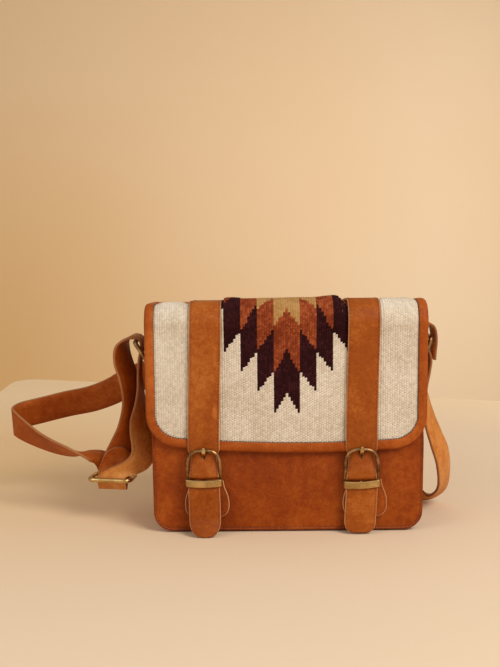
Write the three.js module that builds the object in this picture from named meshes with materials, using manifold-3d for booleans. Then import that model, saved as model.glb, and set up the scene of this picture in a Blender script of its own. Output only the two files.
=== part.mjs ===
// Leather crossbody bag: a boxed leather body under a woven wool flap, closed by two buckle-look straps,
// carried on a long leather shoulder strap with a slider.
// Millimetres, +Z up, the front faces -Y, +X is the wearer's view of the right side, origin under the base.
import * as THREE from "three";
import { mergeVertices } from "three/addons/utils/BufferGeometryUtils.js";
import Module from "manifold-3d";

// Gap kept between pieces that touch
const FIT_GAP = 0.3;

// Body: two panels sewn to a U-shaped gusset
const BODY_WIDTH = 244;
const BODY_DEPTH = 70;
const BACK_PANEL_TOP = 197;
const FRONT_PANEL_DROP = 6;
const PANEL_THICKNESS = 2;
const PANEL_LIFT = 1.2;
const SIDE_TAPER = 1.6;
const BASE_CORNER_RADIUS = 17;
const GUSSET_INSET = 1;
const GUSSET_THICKNESS = 2;
const GUSSET_DROP = 3;
const LINING_THICKNESS = 0.8;
const LINING_DROP = 4;
const YOKE_HEIGHT = 34;
const YOKE_THICKNESS = 1.6;

// Flap: lining, woven cloth and a leather binding round three edges
const FLAP_WIDTH = 251;
const FLAP_LOW_Z = 73.5;
const FLAP_TOP_RISE = 1.8;
const FLAP_TOP_SLOPE = 4.5;
const FLAP_FRONT_GAP = 1.9;
const FLAP_FOLD_RADIUS = 14;
const FLAP_CORNER_RADIUS = 29;
const FLAP_LINING_THICKNESS = 1.1;
const CLOTH_THICKNESS = 1.6;
const RIB_HEIGHT = 0.7;
const RIBS_PER_COLUMN = 3;
const BINDING_WIDTH = 9.6;
const BINDING_THICKNESS = 1.2;
const FOLD_STEPS = 5;

// Woven lozenge: stepped columns of three nested colours, centred over the bag's top
const MOTIF_CENTRE_HALF = 11.55;
const MOTIF_COLUMN = 14.7;
const MOTIF_STEP = 18;
const MOTIF_BAND = 38;
const MOTIF_NOTCH_Z = 129;
const MOTIF_MIN_REACH = 2;

// Flap straps, buckles, tabs and the snaps hidden behind the tabs
const CLOSURE_X = 69.4;
const CLOSURE_SHIFT = -1.6;
const FLAP_STRAP_WIDTH = 28.4;
const FLAP_STRAP_THICKNESS = 2.2;
const TAIL_END_Z = { left: 0.8, right: 2.6 };
const TAIL_FLARE = { left: 6, right: 1.5 };
const TAIL_ROUND = 15;
const BUCKLE_BAR_Z = 48;
const BUCKLE_ARC_Z = 76;
const BUCKLE_STRAP_WIDTH = 25.6;
const BUCKLE_WIRE_RADIUS = 1.4;
const BUCKLE_SIDE_GAP = 0.5;
const BUCKLE_BEND = 13;
const BUCKLE_ARC_FULLNESS = 0.75;
const KEEPER_HEIGHT = 6.8;
const KEEPER_THICKNESS = 1.8;
const KEEPER_DROP = 2.2;
const PRONG_WIDTH = 3.6;
const PRONG_THICKNESS = 1.3;
const PRONG_HOLE_LOW_Z = 65.5;
const PRONG_HOLE_HEIGHT = 9;
const TAB_THICKNESS = 2;
const TAB_LOOP_THICKNESS = 1.3;
const TAB_LOOP_WIDTH = 21;
const TAB_NECK_WIDTH = 27;
const TAB_WIDTH = 40;
const TAB_SHIFT = { left: 1.5, right: 2.4 };
const TAB_LOW_Z = 14.5;
const TAB_ROUND_HEIGHT = 13;
const SNAP_Z = 29;
const SNAP_RADIUS = 7;
const SNAP_SOCKET_THICKNESS = 2.3;
const SNAP_FLANGE_THICKNESS = 1.2;
const SNAP_STUD_RADIUS = 1.6;
const SNAP_STUD_LENGTH = 1.5;
const SNAP_HOLE_PLAY = 1.1;

// Shoulder strap, its rings, their tabs and the slider
const STRAP_WIDTH = 28;
const STRAP_THICKNESS = 2.4;
const STRAP_STEPS_PER_POINT = 2;
const RING_WIRE_RADIUS = 2;
const RING_SIDE_GAP = 1.5;
const RING_REACH = 21;
const RING_BAR_Z = 154;
const RING_CORNER_RADIUS = 3.5;
const RING_TILT = { left: 58, right: 70 };
const RING_TAB_THICKNESS = 1.4;
const RING_TAB_LENGTH = 26;
const SLIDER_CENTRE = [-162, 2, 42];
const SLIDER_YAW = -9.65;
const SLIDER_WIRE_RADIUS = 2.2;
const SLIDER_BAR_RADIUS = 1.1;
const SLIDER_SIDE_GAP = 3;
const SLIDER_BAR_SPACING = 12;
const SLIDER_CORNER_RADIUS = 5;

// Faces round a wire, round a snap, and along a rounded corner
const WIRE_SIDES = 8;
const ROUND_SIDES = 20;
const CORNER_STEPS = 6;

// Centre of the shoulder strap and the direction of its width, from the end sewn at the slider, up through
// the left ring, back down to the slider, out to the left, behind the bag and up to the right ring
const SHOULDER_STRAP_ROUTE = [
  [-151.8, 0.4, 71, -0.8, -0.45, 0.41],
  [-157.3, 0.2, 60, -0.99, -0.15, 0],
  [-161.2, -1.2, 49, -0.99, 0.16, 0],
  [-162, -1.6, 42.5, -0.99, 0.17, 0],
  [-162, 2, 38.2, -0.99, 0.17, 0],
  [-162, 5.6, 42.5, -0.99, 0.17, 0],
  [-161.2, 5.2, 49, -0.99, 0.16, 0],
  [-157.3, 3.6, 60, -0.99, -0.15, 0],
  [-151.5, 3.8, 72, -0.82, -0.48, 0.32],
  [-145.7, 3.4, 89, -0.7, -0.7, 0.16],
  [-142.4, 2.4, 106, -0.61, -0.79, 0.01],
  [-142, 1, 121, -0.54, -0.83, -0.11],
  [-145.2, 0, 138, -0.48, -0.87, -0.14],
  [-149.6, 0, 153, -0.47, -0.88, -0.09],
  [-150.2, 0, 165, -0.35, -0.93, 0.07],
  [-145.5, 0, 173.5, -0.07, -1, 0.07],
  [-138, 0, 176.5, 0, -1, 0],
  [-132.4, 0, 173.5, 0, -1, 0],
  [-130.8, 0, 166.5, 0, -1, 0],
  [-133.2, 0, 156, 0, -1, 0],
  [-134.4, 0, 142, 0, -1, -0.04],
  [-134.4, 1, 128, -0.05, -1, -0.07],
  [-135, 2, 113, -0.22, -0.97, -0.05],
  [-136.3, 3, 98, -0.46, -0.89, 0.01],
  [-136.2, 2.4, 84, -0.69, -0.72, 0.07],
  [-136.5, 0.6, 72, -0.83, -0.45, 0.32],
  [-142, -2.4, 62.5, -0.73, 0.01, 0.68],
  [-151, -4.4, 56.5, -0.96, 0.1, 0.26],
  [-158.5, -5.1, 51, -0.98, 0.17, 0.12],
  [-161.8, -5.2, 44, -0.99, 0.17, 0],
  [-162, -4.6, 38.5, -0.99, 0.17, 0],
  [-162, 1.8, 31.5, -0.99, 0.17, 0],
  [-162.3, 8.8, 38.5, -0.99, 0.17, 0],
  [-162.8, 9.5, 45, -0.99, 0.15, 0],
  [-167, 9.4, 52.5, -0.97, -0.2, -0.15],
  [-178.5, 9.6, 58, -0.24, -0.85, -0.48],
  [-189, 10.5, 61.5, -0.11, -0.99, 0.11],
  [-202, 13, 64, -0.12, -0.86, 0.49],
  [-218, 18, 67.5, -0.12, -0.74, 0.66],
  [-234, 26, 72.5, -0.07, -0.63, 0.78],
  [-249, 35, 78.5, 0.05, -0.49, 0.87],
  [-261, 44, 84, 0.07, -0.33, 0.94],
  [-265.5, 54, 86.5, -0.01, -0.26, 0.96],
  [-259, 64, 89.5, -0.08, -0.25, 0.96],
  [-241, 71, 93, -0.11, -0.25, 0.96],
  [-216, 74, 97, -0.14, -0.26, 0.96],
  [-191, 74, 101, -0.25, -0.24, 0.94],
  [-169, 69, 108, -0.46, -0.17, 0.87],
  [-148, 59, 121, -0.5, -0.08, 0.86],
  [-126, 48, 131, -0.23, -0.02, 0.97],
  [-95, 42.5, 133, 0.15, 0, 0.99],
  [-55, 41.5, 120, 0.38, 0, 0.92],
  [-10, 41.5, 98, 0.46, 0, 0.89],
  [35, 42, 74, 0.49, 0, 0.87],
  [70, 43.5, 53, 0.56, -0.04, 0.83],
  [98, 46.5, 32, 0.6, -0.24, 0.76],
  [120, 49.5, 15.5, 0.39, -0.61, 0.69],
  [138, 46.5, 9.5, -0.26, -0.77, 0.58],
  [151, 38.5, 15, -0.8, -0.6, -0.03],
  [154.5, 23, 33, -0.66, -0.61, -0.44],
  [150, 9, 57, -0.6, -0.65, -0.46],
  [142.5, 3, 77, -0.53, -0.76, -0.36],
  [135.5, 1, 95, -0.49, -0.84, -0.23],
  [131.3, 0, 112, -0.34, -0.94, -0.08],
  [130.6, 0, 128, -0.1, -1, 0],
  [131.8, 0, 142, 0, -1, 0],
  [133, 0, 154, 0, -1, 0],
  [129.6, 0, 165, 0, -1, 0],
  [126.8, 0, 176, 0, -1, 0],
  [130.4, 0, 185.2, 0, -1, 0],
  [135.8, 0, 182.5, 0, -1, 0],
  [137.6, 0, 172, 0, -1, 0],
  [137, 0, 162, 0, -1, 0],
  [136.4, 0, 153, 0, -1, 0],
];

// Finishes
const TAN_LEATHER = new THREE.MeshStandardMaterial({ color: 0xb0642c, roughness: 0.6, metalness: 0 });
const STRAP_LEATHER = new THREE.MeshStandardMaterial({ color: 0xb86b30, roughness: 0.6, metalness: 0 });
const FLAP_SUEDE = new THREE.MeshStandardMaterial({ color: 0x7c4a28, roughness: 0.9, metalness: 0 });
const LINING_CLOTH = new THREE.MeshStandardMaterial({ color: 0x8c7a60, roughness: 0.95, metalness: 0 });
const CREAM_WOOL = new THREE.MeshStandardMaterial({ color: 0xd8bd9a, roughness: 1, metalness: 0 });
const PLUM_WOOL = new THREE.MeshStandardMaterial({ color: 0x3a1418, roughness: 1, metalness: 0 });
const RUST_WOOL = new THREE.MeshStandardMaterial({ color: 0x96441c, roughness: 1, metalness: 0 });
const SAND_WOOL = new THREE.MeshStandardMaterial({ color: 0xbe9b5f, roughness: 1, metalness: 0 });
const ANTIQUE_BRASS = new THREE.MeshStandardMaterial({ color: 0x8a6a3a, roughness: 0.35, metalness: 1 });

// Sizes worked out from the driving ones
const SIDES = { left: -1, right: 1 };
const FRONT_FACE_Y = -BODY_DEPTH / 2;
const BACK_FACE_Y = BODY_DEPTH / 2;
const FRONT_PANEL_TOP = BACK_PANEL_TOP - FRONT_PANEL_DROP;
const GUSSET_TOP = BACK_PANEL_TOP - GUSSET_DROP;
const LINING_TOP = BACK_PANEL_TOP - LINING_DROP;
const GUSSET_HALF_WIDTH = BODY_WIDTH / 2 - GUSSET_INSET;
const GUSSET_HALF_DEPTH = BODY_DEPTH / 2 - PANEL_THICKNESS - FIT_GAP;
const FLAP_BACK_Y = BACK_FACE_Y + FIT_GAP + YOKE_THICKNESS;
const FLAP_FRONT_Y = FRONT_FACE_Y - FLAP_FRONT_GAP;
const FLAP_BACK_Z = BACK_PANEL_TOP + FLAP_TOP_RISE;
const TOP_SLOPE = THREE.MathUtils.degToRad(FLAP_TOP_SLOPE);
const FOLD_CENTRE_Y = FLAP_FRONT_Y + FLAP_FOLD_RADIUS;
const TOP_RUN = (FLAP_BACK_Y - FOLD_CENTRE_Y - FLAP_FOLD_RADIUS * Math.sin(TOP_SLOPE)) / Math.cos(TOP_SLOPE);
const FOLD_CENTRE_Z = FLAP_BACK_Z + TOP_RUN * Math.sin(TOP_SLOPE) - FLAP_FOLD_RADIUS * Math.cos(TOP_SLOPE);
const FOLD_RUN = FLAP_FOLD_RADIUS * (Math.PI / 2 + TOP_SLOPE);
const FLAP_RUN = TOP_RUN + FOLD_RUN + FOLD_CENTRE_Z - FLAP_LOW_Z;
const FLAP_EDGE_INSET = BINDING_THICKNESS + FIT_GAP;
const CLOTH_LOW = FLAP_LINING_THICKNESS + FIT_GAP;
const CLOTH_HIGH = CLOTH_LOW + CLOTH_THICKNESS + RIB_HEIGHT;
const MOTIF_CENTRE_RUN = TOP_RUN + FOLD_RUN + FOLD_CENTRE_Z - MOTIF_NOTCH_Z - 3 * MOTIF_BAND;
const FLAP_STRAP_SEAT = CLOTH_HIGH + FIT_GAP + FLAP_STRAP_THICKNESS / 2;
const FLAP_STRAP_OVER_BINDING = FLAP_STRAP_SEAT + BINDING_THICKNESS + FIT_GAP;
const SNAP_FLANGE_BACK_Y = FRONT_FACE_Y - 2 * FIT_GAP - SNAP_SOCKET_THICKNESS;
const TAB_BACK_Y = SNAP_FLANGE_BACK_Y - SNAP_FLANGE_THICKNESS - FIT_GAP;
const TAB_LOOP_RADIUS = BUCKLE_WIRE_RADIUS + FIT_GAP + TAB_LOOP_THICKNESS;
const BUCKLE_BAR_Y = TAB_BACK_Y - TAB_LOOP_RADIUS;
const STRAP_AT_BAR_Y = BUCKLE_BAR_Y - TAB_LOOP_RADIUS - FIT_GAP - FLAP_STRAP_THICKNESS / 2;
const STRAP_AT_ARC_Y = FLAP_FRONT_Y - FLAP_STRAP_OVER_BINDING;
const BUCKLE_ARC_Y = STRAP_AT_ARC_Y - FLAP_STRAP_THICKNESS / 2 - FIT_GAP - BUCKLE_WIRE_RADIUS;
const KEEPER_BACK_Y = STRAP_AT_BAR_Y - FLAP_STRAP_THICKNESS / 2 - FIT_GAP;
const TAIL_LOW_Y = TAB_BACK_Y - TAB_THICKNESS - 2 * FIT_GAP - FLAP_STRAP_THICKNESS / 2;
const RING_LOOP_RADIUS = RING_WIRE_RADIUS + FIT_GAP + RING_TAB_THICKNESS;
const RING_BAR_X = GUSSET_HALF_WIDTH + FIT_GAP + RING_TAB_THICKNESS + RING_LOOP_RADIUS - RING_TAB_THICKNESS;

const manifold = await Module();
manifold.setup();

// A mesh of bare triangles, turned so that its faces point out
function closedGeometry(points, faces) {
  let volume = 0;
  const cross = new THREE.Vector3();
  for (const [a, b, c] of faces) {
    volume += points[a].dot(cross.crossVectors(points[b], points[c]));
  }
  const outward = volume > 0 ? faces : faces.map(([a, b, c]) => [a, c, b]);
  const geometry = new THREE.BufferGeometry();
  geometry.setAttribute("position", new THREE.Float32BufferAttribute(points.flatMap((p) => p.toArray()), 3));
  geometry.setIndex(outward.flat());
  return geometry;
}

// Skin over a row of rings with the same section, with both ends closed or the row joined into a loop
function loft(rings, section, loop = false) {
  const count = section.length;
  const points = rings.flat();
  const faces = [];
  const joins = loop ? rings.length : rings.length - 1;
  for (let i = 0; i < joins; i += 1) {
    const near = i * count;
    const far = ((i + 1) % rings.length) * count;
    for (let k = 0; k < count; k += 1) {
      const next = (k + 1) % count;
      faces.push([near + k, near + next, far + next], [near + k, far + next, far + k]);
    }
  }
  if (!loop) {
    const last = (rings.length - 1) * count;
    for (const [a, b, c] of THREE.ShapeUtils.triangulateShape(section, [])) {
      faces.push([a, c, b], [last + a, last + b, last + c]);
    }
  }
  return closedGeometry(points, faces);
}

function rectangleSection(width, height) {
  return [
    new THREE.Vector2(-width / 2, -height / 2),
    new THREE.Vector2(width / 2, -height / 2),
    new THREE.Vector2(width / 2, height / 2),
    new THREE.Vector2(-width / 2, height / 2),
  ];
}

function roundSection(radius) {
  const section = [];
  for (let k = 0; k < WIRE_SIDES; k += 1) {
    const angle = (2 * Math.PI * (k + 0.5)) / WIRE_SIDES;
    section.push(new THREE.Vector2(radius * Math.cos(angle), radius * Math.sin(angle)));
  }
  return section;
}

// Extrudes an outline drawn in X and Z through the thickness that ends at yBack
function slab(shape, yBack, thickness) {
  const geometry = new THREE.ExtrudeGeometry(shape, {
    depth: thickness,
    bevelEnabled: false,
    curveSegments: CORNER_STEPS,
  });
  return geometry.rotateX(Math.PI / 2).translate(0, yBack, 0);
}

// Extrudes an outline drawn in Y and Z along X, centred on xCentre
function prismAlongX(shape, width, xCentre) {
  const geometry = new THREE.ExtrudeGeometry(shape, {
    depth: width,
    bevelEnabled: false,
    curveSegments: ROUND_SIDES / 2,
  });
  const turn = new THREE.Matrix4().makeBasis(
    new THREE.Vector3(0, 1, 0),
    new THREE.Vector3(0, 0, 1),
    new THREE.Vector3(1, 0, 0),
  );
  return geometry.applyMatrix4(turn).translate(xCentre - width / 2, 0, 0);
}

function box(x0, x1, y0, y1, z0, z1) {
  const geometry = new THREE.BoxGeometry(x1 - x0, y1 - y0, z1 - z0);
  return geometry.translate((x0 + x1) / 2, (y0 + y1) / 2, (z0 + z1) / 2);
}

function toSolid(geometry) {
  const bare = geometry.clone();
  bare.deleteAttribute("normal");
  bare.deleteAttribute("uv");
  const merged = mergeVertices(bare, 1e-4);
  return new manifold.Manifold(
    new manifold.Mesh({
      numProp: 3,
      vertProperties: new Float32Array(merged.attributes.position.array),
      triVerts: new Uint32Array(merged.index.array),
    }),
  );
}

function fromSolid(solid) {
  const mesh = solid.getMesh();
  const geometry = new THREE.BufferGeometry();
  geometry.setAttribute("position", new THREE.BufferAttribute(new Float32Array(mesh.vertProperties), 3));
  geometry.setIndex(new THREE.BufferAttribute(new Uint32Array(mesh.triVerts), 1));
  return geometry;
}

function joined(geometries) {
  const [first, ...others] = geometries.map(toSolid);
  return fromSolid(others.reduce((sum, solid) => sum.add(solid), first));
}

function cut(geometry, tools) {
  return fromSolid(tools.map(toSolid).reduce((rest, tool) => rest.subtract(tool), toSolid(geometry)));
}

// Outline of the body seen from the front: straight top, sides that taper to rounded lower corners
function bodyOutline(halfWidth, low, top, radius) {
  const lowHalf = halfWidth - SIDE_TAPER;
  const shape = new THREE.Shape();
  shape.moveTo(-halfWidth, top);
  shape.lineTo(-lowHalf, low + radius);
  shape.quadraticCurveTo(-lowHalf, low, -lowHalf + radius, low);
  shape.lineTo(lowHalf - radius, low);
  shape.quadraticCurveTo(lowHalf, low, lowHalf, low + radius);
  shape.lineTo(halfWidth, top);
  shape.closePath();
  return shape;
}

function frontPanel() {
  const outline = bodyOutline(BODY_WIDTH / 2, PANEL_LIFT, FRONT_PANEL_TOP, BASE_CORNER_RADIUS);
  return slab(outline, FRONT_FACE_Y + PANEL_THICKNESS, PANEL_THICKNESS);
}

function backPanel() {
  const outline = bodyOutline(BODY_WIDTH / 2, PANEL_LIFT, BACK_PANEL_TOP, BASE_CORNER_RADIUS);
  return slab(outline, BACK_FACE_Y, PANEL_THICKNESS);
}

// One strip that makes both sides and the base
function gusset() {
  const outer = bodyOutline(GUSSET_HALF_WIDTH, 0, GUSSET_TOP, BASE_CORNER_RADIUS);
  const inner = bodyOutline(
    GUSSET_HALF_WIDTH - GUSSET_THICKNESS,
    GUSSET_THICKNESS,
    GUSSET_TOP + GUSSET_THICKNESS,
    BASE_CORNER_RADIUS - GUSSET_THICKNESS,
  );
  const strip = slab(outer, GUSSET_HALF_DEPTH, 2 * GUSSET_HALF_DEPTH);
  const hollowDepth = GUSSET_HALF_DEPTH + GUSSET_THICKNESS;
  const hollow = slab(inner, hollowDepth, 2 * hollowDepth);
  return cut(strip, [hollow]);
}

// Cloth pouch open at the top
function lining() {
  const wall = GUSSET_THICKNESS + FIT_GAP;
  const radius = BASE_CORNER_RADIUS - wall;
  const outer = bodyOutline(GUSSET_HALF_WIDTH - wall, wall, LINING_TOP, radius);
  const inner = bodyOutline(
    GUSSET_HALF_WIDTH - wall - LINING_THICKNESS,
    wall + LINING_THICKNESS,
    LINING_TOP + LINING_THICKNESS,
    radius - LINING_THICKNESS,
  );
  const innerDepth = GUSSET_HALF_DEPTH - LINING_THICKNESS;
  return cut(slab(outer, GUSSET_HALF_DEPTH, 2 * GUSSET_HALF_DEPTH), [slab(inner, innerDepth, 2 * innerDepth)]);
}

// Leather strip over the seam that holds the flap to the back
function backYoke() {
  const half = BODY_WIDTH / 2 - GUSSET_INSET;
  const low = BACK_PANEL_TOP - YOKE_HEIGHT;
  return box(-half, half, BACK_FACE_Y + FIT_GAP, FLAP_BACK_Y, low, BACK_PANEL_TOP);
}

// Point of the flap: across it, along it from the hinge seam, and out from its inner face
function flapPoint(across, run, out) {
  if (run <= TOP_RUN) {
    const [sine, cosine] = [Math.sin(TOP_SLOPE), Math.cos(TOP_SLOPE)];
    return new THREE.Vector3(
      across,
      FLAP_BACK_Y - run * cosine + out * sine,
      FLAP_BACK_Z + run * sine + out * cosine,
    );
  }
  if (run >= TOP_RUN + FOLD_RUN) {
    return new THREE.Vector3(across, FLAP_FRONT_Y - out, FOLD_CENTRE_Z - (run - TOP_RUN - FOLD_RUN));
  }
  const angle = (run - TOP_RUN) / FLAP_FOLD_RADIUS - TOP_SLOPE;
  const reach = FLAP_FOLD_RADIUS + out;
  return new THREE.Vector3(
    across,
    FOLD_CENTRE_Y - reach * Math.sin(angle),
    FOLD_CENTRE_Z + reach * Math.cos(angle),
  );
}

function foldRuns() {
  const runs = [];
  for (let k = 0; k <= FOLD_STEPS; k += 1) {
    runs.push(TOP_RUN + (FOLD_RUN * k) / FOLD_STEPS);
  }
  return runs;
}

// Run at which a sheet inset from the flap's edge ends, with its rounded lower corners
function lowRun(across, inset) {
  const radius = FLAP_CORNER_RADIUS - inset;
  const beyond = Math.abs(across) - (FLAP_WIDTH / 2 - FLAP_CORNER_RADIUS);
  const rise = beyond > 0 ? radius - Math.sqrt(Math.max(0, radius * radius - beyond * beyond)) : 0;
  return FLAP_RUN - inset - rise;
}

// A sheet on the flap, made of narrow strips between lines across it. spans(strip) lists what the sheet covers
// in that strip: the runs where it starts and ends on the strip's left and right line.
function flapSheet(lines, spans, innerFace, outerFace) {
  const points = [];
  const faces = [];
  const index = new Map();
  const vertex = (line, run, outside) => {
    const key = `${line} ${run.toFixed(4)} ${outside}`;
    if (!index.has(key)) {
      index.set(key, points.length);
      points.push(flapPoint(lines[line], run, outside ? outerFace(line) : innerFace));
    }
    return index.get(key);
  };
  const strips = [];
  for (let i = 0; i + 1 < lines.length; i += 1) {
    strips.push(spans(i));
  }
  const breaks = lines.map(() => foldRuns());
  strips.forEach((list, i) => {
    for (const span of list) {
      breaks[i].push(span.left[0], span.left[1]);
      breaks[i + 1].push(span.right[0], span.right[1]);
    }
  });
  breaks.forEach((list) => list.sort((a, b) => a - b));
  const chain = (line, [from, to]) => {
    const inside = breaks[line].filter((run) => run > from - 1e-6 && run < to + 1e-6);
    return inside.filter((run, k) => k === 0 || run - inside[k - 1] > 1e-4);
  };
  strips.forEach((list, i) => {
    for (const span of list) {
      const left = chain(i, span.left);
      const right = chain(i + 1, span.right);
      for (const outside of [true, false]) {
        const leftIds = left.map((run) => vertex(i, run, outside));
        const rightIds = right.map((run) => vertex(i + 1, run, outside));
        let a = 0;
        let b = 0;
        while (a + 1 < left.length || b + 1 < right.length) {
          const stepLeft = b + 1 === right.length || (a + 1 < left.length && left[a + 1] <= right[b + 1]);
          const face = stepLeft
            ? [leftIds[a], leftIds[a + 1], rightIds[b]]
            : [leftIds[a], rightIds[b + 1], rightIds[b]];
          faces.push(outside ? face : face.reverse());
          a += stepLeft ? 1 : 0;
          b += stepLeft ? 0 : 1;
        }
      }
      const corner = (line, run) => [vertex(line, run, true), vertex(line, run, false)];
      const [topLeft, topRight] = [corner(i, span.left[0]), corner(i + 1, span.right[0])];
      const [lowLeft, lowRight] = [corner(i, span.left[1]), corner(i + 1, span.right[1])];
      faces.push([topLeft[0], topRight[0], topRight[1]], [topLeft[0], topRight[1], topLeft[1]]);
      faces.push([lowRight[0], lowLeft[0], lowLeft[1]], [lowRight[0], lowLeft[1], lowRight[1]]);
    }
  });
  const covers = (ranges, from, to) => ranges.some(([a, b]) => a < from + 1e-6 && b > to - 1e-6);
  lines.forEach((_, i) => {
    const before = i > 0 ? strips[i - 1].map((span) => span.right) : [];
    const after = i < strips.length ? strips[i].map((span) => span.left) : [];
    const stops = chain(i, [-Infinity, Infinity]);
    for (let k = 0; k + 1 < stops.length; k += 1) {
      const [from, to] = [stops[k], stops[k + 1]];
      const inBefore = covers(before, from, to);
      const inAfter = covers(after, from, to);
      if (inBefore !== inAfter) {
        const [start, end] = inAfter ? [to, from] : [from, to];
        const a = vertex(i, start, true);
        const b = vertex(i, end, true);
        const c = vertex(i, end, false);
        const d = vertex(i, start, false);
        faces.push([a, b, c], [a, c, d]);
      }
    }
  });
  return closedGeometry(points, faces);
}

function flapLining() {
  const half = FLAP_WIDTH / 2 - FLAP_EDGE_INSET;
  const straight = FLAP_WIDTH / 2 - FLAP_CORNER_RADIUS;
  const lines = [];
  for (let k = 0; k <= CORNER_STEPS; k += 1) {
    const across = straight + (half - straight) * Math.sin((Math.PI / 2) * (k / CORNER_STEPS));
    lines.push(-across, across);
  }
  lines.sort((a, b) => a - b);
  const spans = (i) => [
    { left: [0, lowRun(lines[i], FLAP_EDGE_INSET)], right: [0, lowRun(lines[i + 1], FLAP_EDGE_INSET)] },
  ];
  return flapSheet(lines, spans, 0, () => FLAP_LINING_THICKNESS);
}

// How far a colour reaches from the lozenge's centre line at a place across it: each column slopes outwards,
// and the next column starts again one step shorter
function motifReach(colour, column, fraction) {
  const inner = colour * MOTIF_BAND - column * MOTIF_STEP;
  return inner > MOTIF_MIN_REACH ? inner + fraction * MOTIF_STEP : 0;
}

// One colour of the woven cloth. Colour 1 is the core, 2 and 3 lie round it and 4 is the ground.
function wovenField(colour) {
  const half = FLAP_WIDTH / 2 - FLAP_EDGE_INSET;
  const perColumn = 2 * RIBS_PER_COLUMN;
  const halfRibs = perColumn + Math.floor(((half - MOTIF_CENTRE_HALF) * perColumn) / MOTIF_COLUMN);
  const seamShift = (colour - 3) * FIT_GAP;
  const lines = [];
  for (let k = -halfRibs; k <= halfRibs; k += 1) {
    const atColumnEdge = k !== 0 && k % perColumn === 0;
    const inner = (Math.min(Math.abs(k), perColumn) * MOTIF_CENTRE_HALF) / perColumn;
    const outer = (Math.max(0, Math.abs(k) - perColumn) * MOTIF_COLUMN) / perColumn;
    lines.push(Math.sign(k) * (inner + outer + (atColumnEdge ? seamShift : 0)));
  }
  const spans = (i) => {
    const first = i - halfRibs;
    const column = Math.floor((first < 0 ? -first - 1 : first) / perColumn);
    const reachesHinge = (other) => motifReach(other, column, 1) > MOTIF_CENTRE_RUN;
    const [left, right] = [lines[i], lines[i + 1]].map((across) => {
      const beyond = (Math.abs(across) - MOTIF_CENTRE_HALF) / MOTIF_COLUMN;
      const fraction = column === 0 ? Math.abs(across) / MOTIF_CENTRE_HALF : beyond - column + 1;
      const near = colour > 1 ? motifReach(colour - 1, column, fraction) : 0;
      const far = colour < 4 ? motifReach(colour, column, fraction) : Infinity;
      const start = near > 0 ? near + FIT_GAP / 2 : 0;
      const low = Math.min(lowRun(across, FLAP_EDGE_INSET), MOTIF_CENTRE_RUN + far - FIT_GAP / 2);
      const high = colour === 4 || reachesHinge(colour) ? 0 : MOTIF_CENTRE_RUN - far + FIT_GAP / 2;
      return { near, far, front: [MOTIF_CENTRE_RUN + start, low], back: [high, MOTIF_CENTRE_RUN - start] };
    });
    if (left.far === 0) {
      return [];
    }
    if (left.near === 0) {
      return [{ left: [left.back[0], left.front[1]], right: [right.back[0], right.front[1]] }];
    }
    const front = { left: left.front, right: right.front };
    return reachesHinge(colour - 1) ? [front] : [{ left: left.back, right: right.back }, front];
  };
  const crest = (line) => CLOTH_LOW + CLOTH_THICKNESS + ((line - halfRibs) % 2 === 0 ? 0 : RIB_HEIGHT);
  return flapSheet(lines, spans, CLOTH_LOW, crest);
}

// Leather folded round the flap's side and lower edges, as a U-shaped section that follows them
function flapBinding() {
  const innerLeg = -FIT_GAP - BINDING_THICKNESS;
  const outerLeg = CLOTH_HIGH + FIT_GAP;
  const section = [
    new THREE.Vector2(0, innerLeg),
    new THREE.Vector2(BINDING_WIDTH, innerLeg),
    new THREE.Vector2(BINDING_WIDTH, -FIT_GAP),
    new THREE.Vector2(BINDING_THICKNESS, -FIT_GAP),
    new THREE.Vector2(BINDING_THICKNESS, outerLeg),
    new THREE.Vector2(BINDING_WIDTH, outerLeg),
    new THREE.Vector2(BINDING_WIDTH - BINDING_THICKNESS / 2, outerLeg + BINDING_THICKNESS),
    new THREE.Vector2(BINDING_THICKNESS / 2, outerLeg + BINDING_THICKNESS),
    new THREE.Vector2(0, outerLeg + BINDING_THICKNESS / 2),
  ];
  const half = FLAP_WIDTH / 2;
  const cornerRun = FLAP_RUN - FLAP_CORNER_RADIUS;
  const stations = [0, ...foldRuns(), cornerRun].map((run) => ({ across: -half, run, inwards: [1, 0] }));
  for (let k = 1; k <= CORNER_STEPS; k += 1) {
    const angle = (Math.PI / 2) * (k / CORNER_STEPS);
    stations.push({
      across: -half + FLAP_CORNER_RADIUS * (1 - Math.cos(angle)),
      run: cornerRun + FLAP_CORNER_RADIUS * Math.sin(angle),
      inwards: [Math.cos(angle), -Math.sin(angle)],
    });
  }
  const mirrored = stations.map(({ across, run, inwards }) => ({
    across: -across,
    run,
    inwards: [-inwards[0], inwards[1]],
  }));
  const rings = [...stations, ...mirrored.reverse()].map(({ across, run, inwards }) =>
    section.map((p) => flapPoint(across + p.x * inwards[0], run + p.x * inwards[1], p.y)),
  );
  return loft(rings, section);
}

// Strip of leather or metal that bends in the YZ plane only, as stations with a width of their own
function bentStrip(stations, thickness, xCentre) {
  const rings = stations.map((here, i) => {
    const before = stations[Math.max(0, i - 1)];
    const after = stations[Math.min(stations.length - 1, i + 1)];
    const along = new THREE.Vector2(after.y - before.y, after.z - before.z).normalize();
    const normal = new THREE.Vector2(along.y, -along.x).multiplyScalar(thickness / 2);
    return [
      new THREE.Vector3(xCentre - here.width / 2, here.y - normal.x, here.z - normal.y),
      new THREE.Vector3(xCentre + here.width / 2, here.y - normal.x, here.z - normal.y),
      new THREE.Vector3(xCentre + here.width / 2, here.y + normal.x, here.z + normal.y),
      new THREE.Vector3(xCentre - here.width / 2, here.y + normal.x, here.z + normal.y),
    ];
  });
  return loft(rings, rectangleSection(1, 1));
}

// Middle of a closure, across the bag
function closureX(side) {
  return SIDES[side] * CLOSURE_X + CLOSURE_SHIFT;
}

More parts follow.
